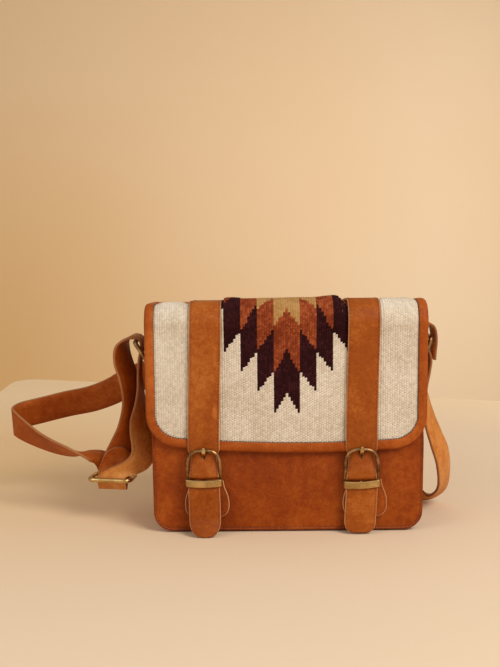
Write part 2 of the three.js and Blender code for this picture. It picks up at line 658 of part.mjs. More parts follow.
// Strap sewn over the flap, through its buckle and down to a rounded tail, with a hole for the prong
function flapStrap(side) {
  const width = FLAP_STRAP_WIDTH;
  const stations = [0, ...foldRuns(), FLAP_RUN - 3 * BINDING_WIDTH].map((run) => {
    const { y, z } = flapPoint(0, run, FLAP_STRAP_SEAT);
    return { y, z, width };
  });
  const bindingTop = FLAP_LOW_Z + BINDING_WIDTH;
  const bendTop = BUCKLE_BAR_Z + BUCKLE_BEND;
  const bendLow = BUCKLE_BAR_Z + TAB_LOOP_RADIUS;
  const keeperLow = BUCKLE_BAR_Z - KEEPER_HEIGHT;
  const tailEnd = TAIL_END_Z[side];
  const tailTop = tailEnd + TAIL_ROUND;
  stations.push(
    { y: STRAP_AT_ARC_Y, z: bindingTop + 1, width },
    { y: STRAP_AT_ARC_Y, z: bendTop + BUCKLE_BEND / 2, width },
    { y: STRAP_AT_ARC_Y, z: bendTop, width: BUCKLE_STRAP_WIDTH },
    { y: (STRAP_AT_ARC_Y + STRAP_AT_BAR_Y) / 2, z: (bendTop + bendLow) / 2, width: BUCKLE_STRAP_WIDTH },
    { y: STRAP_AT_BAR_Y, z: bendLow, width: BUCKLE_STRAP_WIDTH },
    { y: STRAP_AT_BAR_Y, z: keeperLow, width },
    { y: (STRAP_AT_BAR_Y + TAIL_LOW_Y) / 2, z: (keeperLow + tailTop) / 2, width },
    { y: TAIL_LOW_Y - 0.3 * TAIL_FLARE[side], z: tailTop, width },
  );
  for (let k = 1; k <= CORNER_STEPS; k += 1) {
    const angle = (0.9 * Math.PI * k) / (2 * CORNER_STEPS);
    stations.push({
      y: TAIL_LOW_Y - TAIL_FLARE[side] * (0.3 + (0.7 * k) / CORNER_STEPS),
      z: tailTop - (TAIL_ROUND * Math.sin(angle)) / Math.sin(0.45 * Math.PI),
      width: width * Math.cos(angle) ** 0.7,
    });
  }
  const x = closureX(side);
  const play = PRONG_WIDTH / 2 + FIT_GAP;
  const hole = box(
    x - play,
    x + play,
    STRAP_AT_BAR_Y - FLAP_STRAP_THICKNESS,
    STRAP_AT_ARC_Y + FLAP_STRAP_THICKNESS,
    PRONG_HOLE_LOW_Z,
    PRONG_HOLE_LOW_Z + PRONG_HOLE_HEIGHT,
  );
  return cut(bentStrip(stations, FLAP_STRAP_THICKNESS, x), [hole]);
}

// Straight spine for a flat loop of wire
function straightSpine(origin, axis) {
  return (height) => ({ centre: origin.clone().addScaledVector(axis, height), up: axis });
}

// Wire bent into a closed loop: the outline's first number lies along one axis, its second along a spine
function wireLoop(outline, radius, axis, spine) {
  const section = roundSection(radius);
  const rings = outline.map((here, i) => {
    const before = outline[(i + outline.length - 1) % outline.length];
    const after = outline[(i + 1) % outline.length];
    const into = new THREE.Vector2().subVectors(here, before).normalize();
    const away = new THREE.Vector2().subVectors(after, here).normalize();
    const along = into.clone().add(away).normalize();
    const spread = 1 / Math.max(0.5, along.dot(away));
    const { centre, up } = spine(here.y);
    const normal = new THREE.Vector3().crossVectors(axis, up);
    const side = new THREE.Vector3().addScaledVector(axis, along.y).addScaledVector(up, -along.x);
    centre.addScaledVector(axis, here.x);
    return section.map(({ x, y }) => centre.clone().addScaledVector(side, x * spread).addScaledVector(normal, y));
  });
  return loft(rings, section, true);
}

// Points of a rounded rectangle, counter-clockwise
function roundedRectangle(halfA, lowB, highB, radius, steps) {
  const corners = [
    [halfA - radius, lowB + radius, -90],
    [halfA - radius, highB - radius, 0],
    [-halfA + radius, highB - radius, 90],
    [-halfA + radius, lowB + radius, 180],
  ];
  return corners.flatMap(([a, b, start]) => {
    const arc = [];
    for (let k = 0; k <= steps; k += 1) {
      const angle = THREE.MathUtils.degToRad(start + (90 * k) / steps);
      arc.push(new THREE.Vector2(a + radius * Math.cos(angle), b + radius * Math.sin(angle)));
    }
    return arc;
  });
}

// D-shaped wire with a straight rear bar and, in front of it, the flat bar that keeps the strap's tail
function buckleFrame(side) {
  const x = closureX(side);
  const halfWidth = BUCKLE_STRAP_WIDTH / 2 + BUCKLE_SIDE_GAP + BUCKLE_WIRE_RADIUS;
  const height = BUCKLE_ARC_Z - BUCKLE_BAR_Z;
  const outline = [new THREE.Vector2(-halfWidth, 0)];
  for (let k = 0; k <= 4; k += 1) {
    outline.push(new THREE.Vector2(halfWidth, (BUCKLE_BEND * k) / 4));
  }
  const arcSteps = 2 * CORNER_STEPS;
  const arcRise = height - BUCKLE_BEND;
  for (let k = 1; k < arcSteps; k += 1) {
    const angle = (Math.PI * k) / arcSteps;
    const reach = Math.sign(Math.cos(angle)) * Math.abs(Math.cos(angle)) ** BUCKLE_ARC_FULLNESS;
    outline.push(new THREE.Vector2(halfWidth * reach, BUCKLE_BEND + arcRise * Math.sin(angle)));
  }
  for (let k = 4; k > 0; k -= 1) {
    outline.push(new THREE.Vector2(-halfWidth, (BUCKLE_BEND * k) / 4));
  }
  const spine = (up) => {
    const share = Math.min(1, up / BUCKLE_BEND);
    const forward = BUCKLE_ARC_Y - BUCKLE_BAR_Y;
    const y = BUCKLE_BAR_Y + forward * Math.sin((share * Math.PI) / 2);
    const lean = share < 1 ? (forward * Math.PI * Math.cos((share * Math.PI) / 2)) / (2 * BUCKLE_BEND) : 0;
    return {
      centre: new THREE.Vector3(x, y, BUCKLE_BAR_Z + up),
      up: new THREE.Vector3(0, lean, 1).normalize(),
    };
  };
  const wire = wireLoop(outline, BUCKLE_WIRE_RADIUS, new THREE.Vector3(1, 0, 0), spine);
  const inner = FLAP_STRAP_WIDTH / 2 + BUCKLE_SIDE_GAP;
  const outer = inner + KEEPER_THICKNESS;
  const frontY = KEEPER_BACK_Y - KEEPER_THICKNESS;
  const band = new THREE.Shape();
  band.moveTo(x - outer, BUCKLE_BAR_Y);
  band.lineTo(x - outer, frontY + KEEPER_THICKNESS);
  band.quadraticCurveTo(x - outer, frontY, x - outer + KEEPER_THICKNESS, frontY);
  band.lineTo(x + outer - KEEPER_THICKNESS, frontY);
  band.quadraticCurveTo(x + outer, frontY, x + outer, frontY + KEEPER_THICKNESS);
  band.lineTo(x + outer, BUCKLE_BAR_Y);
  band.lineTo(x + inner, BUCKLE_BAR_Y);
  band.lineTo(x + inner, KEEPER_BACK_Y);
  band.lineTo(x - inner, KEEPER_BACK_Y);
  band.lineTo(x - inner, BUCKLE_BAR_Y);
  band.closePath();
  const keeper = new THREE.ExtrudeGeometry(band, { depth: KEEPER_HEIGHT, bevelEnabled: false, curveSegments: 3 });
  keeper.translate(0, 0, BUCKLE_BAR_Z + KEEPER_DROP - KEEPER_HEIGHT);
  return joined([wire, keeper]);
}

// Flat prong that wraps the rear bar, rises behind the strap and comes through it to rest on the arc
function buckleProng(side) {
  const wrap = BUCKLE_WIRE_RADIUS + FIT_GAP + PRONG_THICKNESS / 2;
  const stations = [];
  for (const degrees of [-40, -75, -110, -145, -180, -215]) {
    const angle = THREE.MathUtils.degToRad(degrees);
    stations.push({
      y: BUCKLE_BAR_Y - wrap * Math.cos(angle),
      z: BUCKLE_BAR_Z + wrap * Math.sin(angle),
      width: PRONG_WIDTH,
    });
  }
  const restY = BUCKLE_ARC_Y - BUCKLE_WIRE_RADIUS - FIT_GAP - PRONG_THICKNESS / 2;
  const behindY = STRAP_AT_ARC_Y + FLAP_STRAP_THICKNESS / 2 + FIT_GAP + PRONG_THICKNESS / 2;
  const under = BUCKLE_ARC_Z - BUCKLE_WIRE_RADIUS;
  stations.push(
    { y: BUCKLE_BAR_Y + 0.3, z: BUCKLE_BAR_Z + 6, width: PRONG_WIDTH },
    { y: behindY, z: PRONG_HOLE_LOW_Z - 6, width: PRONG_WIDTH },
    { y: behindY, z: PRONG_HOLE_LOW_Z, width: PRONG_WIDTH },
    { y: (behindY + STRAP_AT_ARC_Y) / 2, z: PRONG_HOLE_LOW_Z + 3, width: PRONG_WIDTH },
    { y: STRAP_AT_ARC_Y - 1.6, z: under - 4, width: PRONG_WIDTH },
    { y: restY + 0.4, z: under - 1.2, width: PRONG_WIDTH * 0.95 },
    { y: restY, z: BUCKLE_ARC_Z, width: PRONG_WIDTH * 0.9 },
    { y: restY + 0.1, z: BUCKLE_ARC_Z + 2.4, width: PRONG_WIDTH * 0.6 },
  );
  return bentStrip(stations, PRONG_THICKNESS, closureX(side));
}

// Pear-shaped pull tab that hangs from the rear bar on a loop, slotted for the prong
function buckleTab(side) {
  const barX = closureX(side);
  const x = barX + TAB_SHIFT[side];
  const neck = TAB_NECK_WIDTH / 2;
  const half = TAB_WIDTH / 2;
  const roundZ = TAB_LOW_Z + TAB_ROUND_HEIGHT;
  const top = BUCKLE_BAR_Z;
  const pear = new THREE.Shape();
  pear.moveTo(x - neck, top);
  pear.bezierCurveTo(x - neck, (top + roundZ) / 2 + 3, x - half, (top + roundZ) / 2, x - half, roundZ);
  pear.bezierCurveTo(x - half, TAB_LOW_Z + 3, x - neck, TAB_LOW_Z, x, TAB_LOW_Z);
  pear.bezierCurveTo(x + neck, TAB_LOW_Z, x + half, TAB_LOW_Z + 3, x + half, roundZ);
  pear.bezierCurveTo(x + half, (top + roundZ) / 2, x + neck, (top + roundZ) / 2 + 3, x + neck, top);
  pear.closePath();
  const plate = slab(pear, TAB_BACK_Y, TAB_THICKNESS);
  const eye = new THREE.Shape();
  eye.absarc(BUCKLE_BAR_Y, BUCKLE_BAR_Z, TAB_LOOP_RADIUS, 0, 2 * Math.PI);
  const bore = new THREE.Shape();
  bore.absarc(BUCKLE_BAR_Y, BUCKLE_BAR_Z, TAB_LOOP_RADIUS - TAB_LOOP_THICKNESS, 0, 2 * Math.PI);
  const slot = PRONG_WIDTH / 2 + 2 * FIT_GAP;
  const reach = TAB_LOOP_RADIUS + FIT_GAP;
  return cut(joined([plate, prismAlongX(eye, TAB_LOOP_WIDTH, x)]), [
    prismAlongX(bore, 2 * TAB_LOOP_WIDTH, x),
    box(
      barX - slot,
      barX + slot,
      BUCKLE_BAR_Y - reach,
      TAB_BACK_Y + FIT_GAP,
      BUCKLE_BAR_Z - reach,
      BUCKLE_BAR_Z + reach,
    ),
  ]);
}

function turned(profile, x, y, z) {
  const outline = profile.map(([radius, along]) => new THREE.Vector2(radius, along));
  const bare = new THREE.LatheGeometry(outline, ROUND_SIDES);
  bare.deleteAttribute("normal");
  bare.deleteAttribute("uv");
  const merged = mergeVertices(bare, 1e-4);
  const points = [];
  for (let i = 0; i < merged.attributes.position.count; i += 1) {
    points.push(new THREE.Vector3().fromBufferAttribute(merged.attributes.position, i));
  }
  const faces = [];
  for (let i = 0; i < merged.index.count; i += 3) {
    const face = [merged.index.getX(i), merged.index.getX(i + 1), merged.index.getX(i + 2)];
    if (new Set(face).size === 3) {
      faces.push(face);
    }
  }
  return closedGeometry(points, faces).translate(x, y, z);
}

// Stud half of the snap, on the back of the tab
function snapStud(side) {
  const profile = [
    [0, -SNAP_FLANGE_THICKNESS],
    [SNAP_RADIUS - 0.6, -SNAP_FLANGE_THICKNESS],
    [SNAP_RADIUS, -SNAP_FLANGE_THICKNESS / 2],
    [SNAP_RADIUS, 0],
    [SNAP_STUD_RADIUS, 0],
    [SNAP_STUD_RADIUS, SNAP_STUD_LENGTH],
    [0, SNAP_STUD_LENGTH],
  ];
  return turned(profile, closureX(side), SNAP_FLANGE_BACK_Y, SNAP_Z);
}

// Socket half of the snap, on the front panel
function snapSocket(side) {
  const hole = SNAP_STUD_RADIUS + SNAP_HOLE_PLAY;
  const profile = [
    [hole, 0],
    [SNAP_RADIUS, 0],
    [SNAP_RADIUS, -SNAP_SOCKET_THICKNESS + 0.6],
    [SNAP_RADIUS - 0.6, -SNAP_SOCKET_THICKNESS],
    [hole, -SNAP_SOCKET_THICKNESS],
    [hole, 0],
  ];
  return turned(profile, closureX(side), FRONT_FACE_Y - FIT_GAP, SNAP_Z);
}

// Rectangular wire ring that swings in its tab
function sideRing(side) {
  const sign = SIDES[side];
  const half = STRAP_WIDTH / 2 + RING_SIDE_GAP + RING_WIRE_RADIUS;
  const tilt = THREE.MathUtils.degToRad(RING_TILT[side]);
  const outline = roundedRectangle(half, 0, RING_REACH, RING_CORNER_RADIUS, 3);
  const origin = new THREE.Vector3(sign * RING_BAR_X, 0, RING_BAR_Z);
  const outwards = new THREE.Vector3(sign * Math.cos(tilt), 0, Math.sin(tilt));
  return wireLoop(outline, RING_WIRE_RADIUS, new THREE.Vector3(0, 1, 0), straightSpine(origin, outwards));
}

// Leather tab sewn to the gusset, folded round the ring's inner bar
function ringTab(side) {
  const sign = SIDES[side];
  const width = STRAP_WIDTH;
  const seat = GUSSET_HALF_WIDTH + FIT_GAP;
  const low = RING_BAR_Z - RING_TAB_LENGTH;
  const round = width / 3;
  const plate = new THREE.Shape();
  plate.moveTo(-width / 2, RING_BAR_Z);
  plate.lineTo(-width / 2, low + round);
  plate.quadraticCurveTo(-width / 2, low, -width / 2 + round, low);
  plate.lineTo(width / 2 - round, low);
  plate.quadraticCurveTo(width / 2, low, width / 2, low + round);
  plate.lineTo(width / 2, RING_BAR_Z);
  plate.closePath();
  const sewn = slab(plate, 0, RING_TAB_THICKNESS).rotateZ((sign * Math.PI) / 2);
  sewn.translate(sign * seat, 0, 0);
  const eye = new THREE.Shape();
  eye.absarc(RING_BAR_X, RING_BAR_Z, RING_LOOP_RADIUS, 0, 2 * Math.PI);
  const bore = new THREE.Shape();
  bore.absarc(RING_BAR_X, RING_BAR_Z, RING_LOOP_RADIUS - RING_TAB_THICKNESS, 0, 2 * Math.PI);
  const loop = prismAlongX(eye, width, 0);
  const through = prismAlongX(bore, 2 * width, 0);
  for (const piece of [loop, through]) {
    piece.rotateZ((-sign * Math.PI) / 2);
  }
  return cut(joined([sewn, loop]), [through]);
}

// Flat leather strap swept along its route, its width turning with it
function shoulderStrap() {
  const centres = SHOULDER_STRAP_ROUTE.map(([x, y, z]) => new THREE.Vector3(x, y, z));
  const widths = SHOULDER_STRAP_ROUTE.map((row) => new THREE.Vector3(row[3], row[4], row[5]));
  const route = new THREE.CatmullRomCurve3(centres, false, "catmullrom", 0.5);
  const turning = new THREE.CatmullRomCurve3(widths, false, "catmullrom", 0.5);
  const steps = STRAP_STEPS_PER_POINT * (centres.length - 1);
  const section = rectangleSection(STRAP_WIDTH, STRAP_THICKNESS);
  const rings = [];
  for (let k = 0; k <= steps; k += 1) {
    const centre = route.getPoint(k / steps);
    const along = route.getTangent(k / steps);
    const across = turning.getPoint(k / steps).normalize();
    const normal = new THREE.Vector3().crossVectors(along, across).normalize();
    rings.push(section.map(({ x, y }) => centre.clone().addScaledVector(across, x).addScaledVector(normal, y)));
  }
  return loft(rings, section);
}

// Oval wire slider with a centre bar
function slider() {
  const half = STRAP_WIDTH / 2 + SLIDER_SIDE_GAP + SLIDER_WIRE_RADIUS;
  const yaw = THREE.MathUtils.degToRad(SLIDER_YAW);
  const along = new THREE.Vector3(Math.cos(yaw), Math.sin(yaw), 0);
  const across = new THREE.Vector3(-Math.sin(yaw), Math.cos(yaw), 0);
  const centre = new THREE.Vector3(...SLIDER_CENTRE);
  const outline = roundedRectangle(half, -SLIDER_BAR_SPACING, SLIDER_BAR_SPACING, SLIDER_CORNER_RADIUS, 4);
  const frame = wireLoop(outline, SLIDER_WIRE_RADIUS, along, straightSpine(centre, across));
  const section = roundSection(SLIDER_BAR_RADIUS);
  const rings = [-half, half].map((x) =>
    section.map((p) =>
      centre.clone().addScaledVector(along, x).addScaledVector(across, p.x).add(new THREE.Vector3(0, 0, p.y)),
    ),
  );
  return joined([frame, loft(rings, section)]);
}

const bag = new THREE.Group();

function add(name, geometry, material) {
  const mesh = new THREE.Mesh(geometry, material);
  mesh.name = name;
  bag.add(mesh);
}

add("front_panel", frontPanel(), TAN_LEATHER);
add("back_panel", backPanel(), TAN_LEATHER);
add("gusset", gusset(), TAN_LEATHER);
add("lining", lining(), LINING_CLOTH);
add("back_yoke", backYoke(), TAN_LEATHER);
add("flap_lining", flapLining(), FLAP_SUEDE);
add("flap_cloth", wovenField(4), CREAM_WOOL);
add("motif_plum", wovenField(3), PLUM_WOOL);
add("motif_rust", wovenField(2), RUST_WOOL);
add("motif_sand", wovenField(1), SAND_WOOL);
add("flap_binding", flapBinding(), TAN_LEATHER);
for (const side of Object.keys(SIDES)) {
  add(`flap_strap_${side}`, flapStrap(side), STRAP_LEATHER);
  add(`buckle_frame_${side}`, buckleFrame(side), ANTIQUE_BRASS);
  add(`buckle_prong_${side}`, buckleProng(side), ANTIQUE_BRASS);
  add(`buckle_tab_${side}`, buckleTab(side), TAN_LEATHER);
  add(`snap_stud_${side}`, snapStud(side), ANTIQUE_BRASS);
  add(`snap_socket_${side}`, snapSocket(side), ANTIQUE_BRASS);
  add(`ring_tab_${side}`, ringTab(side), TAN_LEATHER);
  add(`side_ring_${side}`, sideRing(side), ANTIQUE_BRASS);
}
add("shoulder_strap", shoulderStrap(), STRAP_LEATHER);
add("slider", slider(), ANTIQUE_BRASS);

export default bag;
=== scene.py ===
# %% [markdown]
# # A leather crossbody bag with a woven flap
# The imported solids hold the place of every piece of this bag. Each step below takes one
# piece of the real bag, says how it is sewn or bent, and dresses its solid with a finer mesh
# and a material that is made of nodes. All shapes are worked out in millimetres, as a bag
# maker would, and turned into metres in one place.

import math

import bmesh
import bpy
import numpy as np
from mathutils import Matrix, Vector
from mathutils import noise


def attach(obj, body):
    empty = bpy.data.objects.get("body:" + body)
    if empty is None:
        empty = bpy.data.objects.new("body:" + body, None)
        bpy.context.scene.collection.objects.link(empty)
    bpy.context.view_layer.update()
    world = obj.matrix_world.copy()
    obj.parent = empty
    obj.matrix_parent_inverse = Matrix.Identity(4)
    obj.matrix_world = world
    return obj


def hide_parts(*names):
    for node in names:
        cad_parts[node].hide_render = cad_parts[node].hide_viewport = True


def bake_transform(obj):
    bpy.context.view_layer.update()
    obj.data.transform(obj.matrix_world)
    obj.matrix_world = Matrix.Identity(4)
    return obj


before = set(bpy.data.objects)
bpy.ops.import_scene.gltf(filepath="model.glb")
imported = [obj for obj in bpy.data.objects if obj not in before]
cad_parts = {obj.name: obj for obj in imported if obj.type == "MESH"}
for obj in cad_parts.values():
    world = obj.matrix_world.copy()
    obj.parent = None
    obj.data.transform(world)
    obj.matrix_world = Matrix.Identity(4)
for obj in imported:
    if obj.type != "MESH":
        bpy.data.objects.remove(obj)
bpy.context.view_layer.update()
scene = bpy.context.scene

# %% [markdown]
# The photograph was taken from a little above the bag and a little left of its middle, with a
# longish lens. A camera at that place makes every later comparison an honest one, so it comes
# first. The sensor fits the longer side of the picture, which is its height here.

# %% Camera
PICTURE_HEIGHT = 667
FOCAL_PIXELS = 1000.0
SENSOR = 36.0
CAMERA_PLACE = (-0.0309, -0.915, 0.2889)
CAMERA_PITCH = 83.035
CAMERA_ROLL = 0.5

camera_data = bpy.data.cameras.new("photo_camera")
camera_data.sensor_width = SENSOR
camera_data.lens = FOCAL_PIXELS * SENSOR / PICTURE_HEIGHT
camera = bpy.data.objects.new("photo_camera", camera_data)
camera.location = CAMERA_PLACE
camera.rotation_euler = (math.radians(CAMERA_PITCH), math.radians(CAMERA_ROLL), 0.0)
scene.collection.objects.link(camera)
scene.camera = camera
scene.view_settings.view_transform = "Standard"
print("camera looks down by", 90.0 - CAMERA_PITCH, "degrees")

# %% [markdown]
# Every piece is a mesh at the origin, with its place in its points. Most of them are skins
# over rows of points: a strap is a row of sections along a route, a plate is a row of rings
# from its edge to its middle. Two helpers make such meshes, weld their seams and turn all
# faces outwards. Others draw smooth lines and soft steps, and tie a piece to its body.

# %% Helpers for meshes
MM = 0.001
WELD = 2e-6


def skin(rows, closed_route=False, column_slots=None, cap_slot=0, capped=True):
    """Points, faces and material numbers of a skin over rows that each close on themselves."""
    count = len(rows[0])
    points = [tuple(p) for row in rows for p in row]
    faces = []
    slots = []
    last = len(rows) if closed_route else len(rows) - 1
    for i in range(last):
        here = i * count
        after = ((i + 1) % len(rows)) * count
        for j in range(count):
            k = (j + 1) % count
            faces.append((here + j, here + k, after + k, after + j))
            slots.append(column_slots[j] if column_slots else 0)
    if capped and not closed_route:
        faces.append(tuple(range(count)))
        faces.append(tuple(reversed(range(last * count, (last + 1) * count))))
        slots += [cap_slot, cap_slot]
    return points, faces, slots


def make_piece(name, parts, materials, sharp=None, tone_and_painted_light=None):
    """One mesh object at the origin from parts, each of points in millimetres, faces and slots.

    The optional numbers give each point of a single part a value that its material may read; the
    shoulder strap's painted light and painted shade are such numbers.
    """
    shape = bmesh.new()
    tone_and_painted_light_layer = shape.verts.layers.float.new("tone_and_painted_light") if tone_and_painted_light is not None else None
    for points, faces, slots in parts:
        verts = [shape.verts.new((x * MM, y * MM, z * MM)) for x, y, z in points]
        if tone_and_painted_light_layer is not None:
            for vert, value in zip(verts, tone_and_painted_light):
                vert[tone_and_painted_light_layer] = float(value)
        for face, slot in zip(faces, slots):
            corners = list(dict.fromkeys(face))
            if len(corners) > 2:
                made = shape.faces.new([verts[i] for i in corners])
                made.material_index = slot
                made.smooth = True
    bmesh.ops.remove_doubles(shape, verts=shape.verts, dist=WELD)
    bmesh.ops.dissolve_degenerate(shape, edges=shape.edges, dist=WELD)
    bmesh.ops.recalc_face_normals(shape, faces=shape.faces)
    mesh = bpy.data.meshes.new(name)
    shape.to_mesh(mesh)
    shape.free()
    for material in materials:
        mesh.materials.append(material)
    if sharp:
        mesh.set_sharp_from_angle(angle=math.radians(sharp))
    piece = bpy.data.objects.new(name, mesh)
    scene.collection.objects.link(piece)
    return piece


def dress(piece, body, node):
    """Lets a piece ride on a body in the place of a node, whose solid is hidden."""
    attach(piece, body)
    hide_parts(node)


def through(knots, steps):
    """A smooth line through the knots, with so many steps from each knot to the next."""
    knots = np.asarray(knots, float)
    padded = np.vstack([knots[:1] * 2 - knots[1:2], knots, knots[-1:] * 2 - knots[-2:-1]])
    line = []
    for p0, p1, p2, p3 in zip(padded, padded[1:], padded[2:], padded[3:]):
        for k in range(steps):
            t = k / steps
            bend = (2 * p0 - 5 * p1 + 4 * p2 - p3) * t**2
            twist = (3 * p1 - p0 - 3 * p2 + p3) * t**3
            line.append(0.5 * (2 * p1 + (p2 - p0) * t + bend + twist))
    line.append(knots[-1])
    return np.array(line)


def unit(vectors):
    """The vectors at length one."""
    vectors = np.asarray(vectors, float)
    return vectors / np.linalg.norm(vectors, axis=-1, keepdims=True)


def ease(low, high, value):
    """A smooth step from 0 at low to 1 at high."""
    t = np.clip((value - low) / (high - low), 0.0, 1.0)
    return t * t * (3 - 2 * t)


def ripple(place, size, seed=0.0):
    """Soft unevenness between -1 and 1 whose waves are about so many millimetres long."""
    return noise.noise(Vector(place) / size + Vector((seed, 1.7 * seed, 0.3 * seed)))


print("meshes are welded at", WELD / MM, "mm")

# %% [markdown]
# Materials and Geometry Nodes are both trees of nodes that are joined at their sockets. They could
# be drawn by hand in Blender's editors; a script needs a few helpers for it. One adds a node and
# sets or links its inputs. The others make what every finish here needs: noises, sums, ramps of
# colour and bumps. All finishes read Object coordinates, the place on the piece in metres, so
# a grain has the same scale on every piece.

# %% Helpers for nodes
def add(tree, kind, inputs=None, **settings):
    """A node in a tree, with its settings and the values or links of its inputs."""
    node = tree.nodes.new(kind)
    for key, value in settings.items():
        setattr(node, key, value)
    for key, value in (inputs or {}).items():
        if isinstance(value, bpy.types.NodeSocket):
            tree.links.new(value, node.inputs[key])
        else:
            node.inputs[key].default_value = value
    return node


def new_material(name):
    """A new material, its tree, the bare shader in it and the place on the piece."""
    material = bpy.data.materials.new(name)
    material.use_nodes = True
    tree = material.node_tree
    tree.nodes.clear()
    output = tree.nodes.new("ShaderNodeOutputMaterial")
    shader = tree.nodes.new("ShaderNodeBsdfPrincipled")
    tree.links.new(shader.outputs["BSDF"], output.inputs["Surface"])
    return material, tree, shader, add(tree, "ShaderNodeTexCoord").outputs["Object"]


def reckon(tree, operation, *values):
    """The result of one operation on numbers or sockets."""
    return add(tree, "ShaderNodeMath", dict(enumerate(values)), operation=operation).outputs[0]


def noise_of(tree, place, scale, detail, **more):
    """Soft noise with so many waves to the metre."""
    inputs = {"Vector": place, "Scale": scale, "Detail": detail, **more}
    return add(tree, "ShaderNodeTexNoise", inputs).outputs["Fac"]


def ramp(tree, factor, stops):
    """Colours along a factor; each stop is a place from 0 to 1 and a colour."""
    node = add(tree, "ShaderNodeValToRGB", {"Fac": factor})
    band = node.color_ramp
    while len(band.elements) < len(stops):
        band.elements.new(0.5)
    for element, (place, colour) in zip(band.elements, stops):
        element.position = place
        element.color = (*colour, 1.0)
    return node.outputs["Color"]


def mixed(tree, share, first, second):
    """Two colours mixed by a share."""
    inputs = {0: share, 6: first, 7: second}
    return add(tree, "ShaderNodeMix", inputs, data_type="RGBA").outputs[2]


def spread(tree, value, low, high, to_low, to_high):
    """The value moved from one range to another."""
    inputs = {"Value": value, "From Min": low, "From Max": high, "To Min": to_low, "To Max": to_high}
    return add(tree, "ShaderNodeMapRange", inputs).outputs["Result"]


def painted(tree, shader, colour, rough):
    """Gives the shader its colour, and its roughness as one number or as a socket."""
    tree.links.new(colour, shader.inputs["Base Color"])
    if isinstance(rough, bpy.types.NodeSocket):
        tree.links.new(rough, shader.inputs["Roughness"])
    else:
        shader.inputs["Roughness"].default_value = rough


def bumped(tree, shader, heights):
    """Chains bumps, each of a height socket, a strength and a depth in metres, into the shader."""
    normal = None
    for height, strength, depth in heights:
        inputs = {"Height": height, "Strength": strength, "Distance": depth}
        if normal is not None:
            inputs["Normal"] = normal
        normal = add(tree, "ShaderNodeBump", inputs).outputs["Normal"]
    tree.links.new(normal, shader.inputs["Normal"])


print("materials before dressing:", len(bpy.data.materials))

# %% [markdown]
# Leather is the bag's main material: tan, waxed, lighter where it was rubbed and darker in
# its grain. A photograph could be wrapped round it, but a few noises do it without a picture
# and at the right scale from any side: one of some centimetres for the mottling, one of a
# few millimetres for the stains, a finer one for the grain, and small cells for the pores that
# the light catches. The left flap strap has one rubbed place, which is a soft ball of paler tone.
# The shoulder strap's mesh carries a number along its way, and a second, paler set of tones
# shows as far as the number says: that number paints light and shade on the strap, with a
# little of the grain face's own paler tone.

# %% Leather
PORE = 0.0009
MOTTLE = 0.055
TONE_STOPS = (0.42, 0.6, 0.78)
WAXED_ROUGHNESS = (0.44, 0.64)
LEATHER_TONES = {
    "body_leather": [(0.19, 0.027, 0.001), (0.265, 0.044, 0.002), (0.36, 0.074, 0.006)],
    "welt_leather": [(0.13, 0.018, 0.001), (0.19, 0.031, 0.002), (0.27, 0.055, 0.005)],
    "binding_leather": [(0.25, 0.042, 0.002), (0.345, 0.070, 0.006), (0.46, 0.115, 0.016)],
    "flap_strap_leather": [(0.233, 0.043, 0.002), (0.312, 0.068, 0.005), (0.43, 0.120, 0.017)],
    "shoulder_leather": [(0.23, 0.036, 0.001), (0.325, 0.062, 0.004), (0.44, 0.105, 0.013)],
}
# Paler tones that paint light on the shoulder strap; its darker places are painted shade.
PAINTED_LIGHT_TONES = [(0.46, 0.135, 0.018), (0.60, 0.225, 0.048), (0.74, 0.34, 0.10)]
SCUFF_MIDDLE = (-0.0635, -0.0435, 0.112)
SCUFF_SIZE = (0.0034, 0.006, 0.0095)
SCUFF_GAIN = 0.22


def rubbed_place(tree, place):
    """A gain in tone that is full in the middle of the scuff and gone at its rim."""
    offset = add(tree, "ShaderNodeVectorMath", {0: place, 1: SCUFF_MIDDLE}, operation="SUBTRACT")
    inputs = {0: offset.outputs["Vector"], 1: SCUFF_SIZE}
    shares = add(tree, "ShaderNodeVectorMath", inputs, operation="DIVIDE")
    inputs = {0: shares.outputs["Vector"]}
    far = add(tree, "ShaderNodeVectorMath", inputs, operation="LENGTH").outputs["Value"]
    return spread(tree, far, 0.35, 1.0, SCUFF_GAIN, 0.0)


def leather(name, scuffed=False, with_painted_light=False):
    """Waxed leather in its three tones.

    A scuffed one has the rubbed place; with the last flag set, it mixes in paler tones as far as
    a number on the mesh says, which paints light and shade on the shoulder strap.
    """
    material, tree, shader, place = new_material(name)
    clouds = noise_of(tree, place, 1 / MOTTLE, 4.0, Roughness=0.6, Distortion=0.4)
    stains = noise_of(tree, place, 9 / MOTTLE, 5.0, Roughness=0.7)
    grain = noise_of(tree, place, 24 / MOTTLE, 4.0, Roughness=0.7)
    creases = noise_of(tree, place, 0.2 / PORE, 5.0, Roughness=0.6)
    cells = {"Vector": place, "Scale": 1 / PORE, "Randomness": 1.0}
    pores = add(tree, "ShaderNodeTexVoronoi", cells, feature="SMOOTH_F1").outputs["Distance"]
    tone = reckon(tree, "MULTIPLY_ADD", stains, 0.5, spread(tree, clouds, 0.3, 0.7, 0.0, 0.3))
    tone = reckon(tree, "MULTIPLY_ADD", grain, 0.4, tone)
    if scuffed:
        tone = reckon(tree, "ADD", tone, rubbed_place(tree, place))
    colour = ramp(tree, tone, list(zip(TONE_STOPS, LEATHER_TONES[name])))
    # Paler tones as far as the mesh's number says: painted light and painted shade.
    if with_painted_light:
        tone_and_painted_light = add(tree, "ShaderNodeAttribute", attribute_name="tone_and_painted_light").outputs["Fac"]
        colour = mixed(tree, tone_and_painted_light, colour, ramp(tree, tone, list(zip(TONE_STOPS, PAINTED_LIGHT_TONES))))
    painted(tree, shader, colour, spread(tree, stains, 0.3, 0.7, *WAXED_ROUGHNESS))
    shader.inputs["Specular IOR Level"].default_value = 0.15
    bumped(tree, shader, [(creases, 0.35, 0.0006), (pores, 0.35, 0.00025)])
    return material


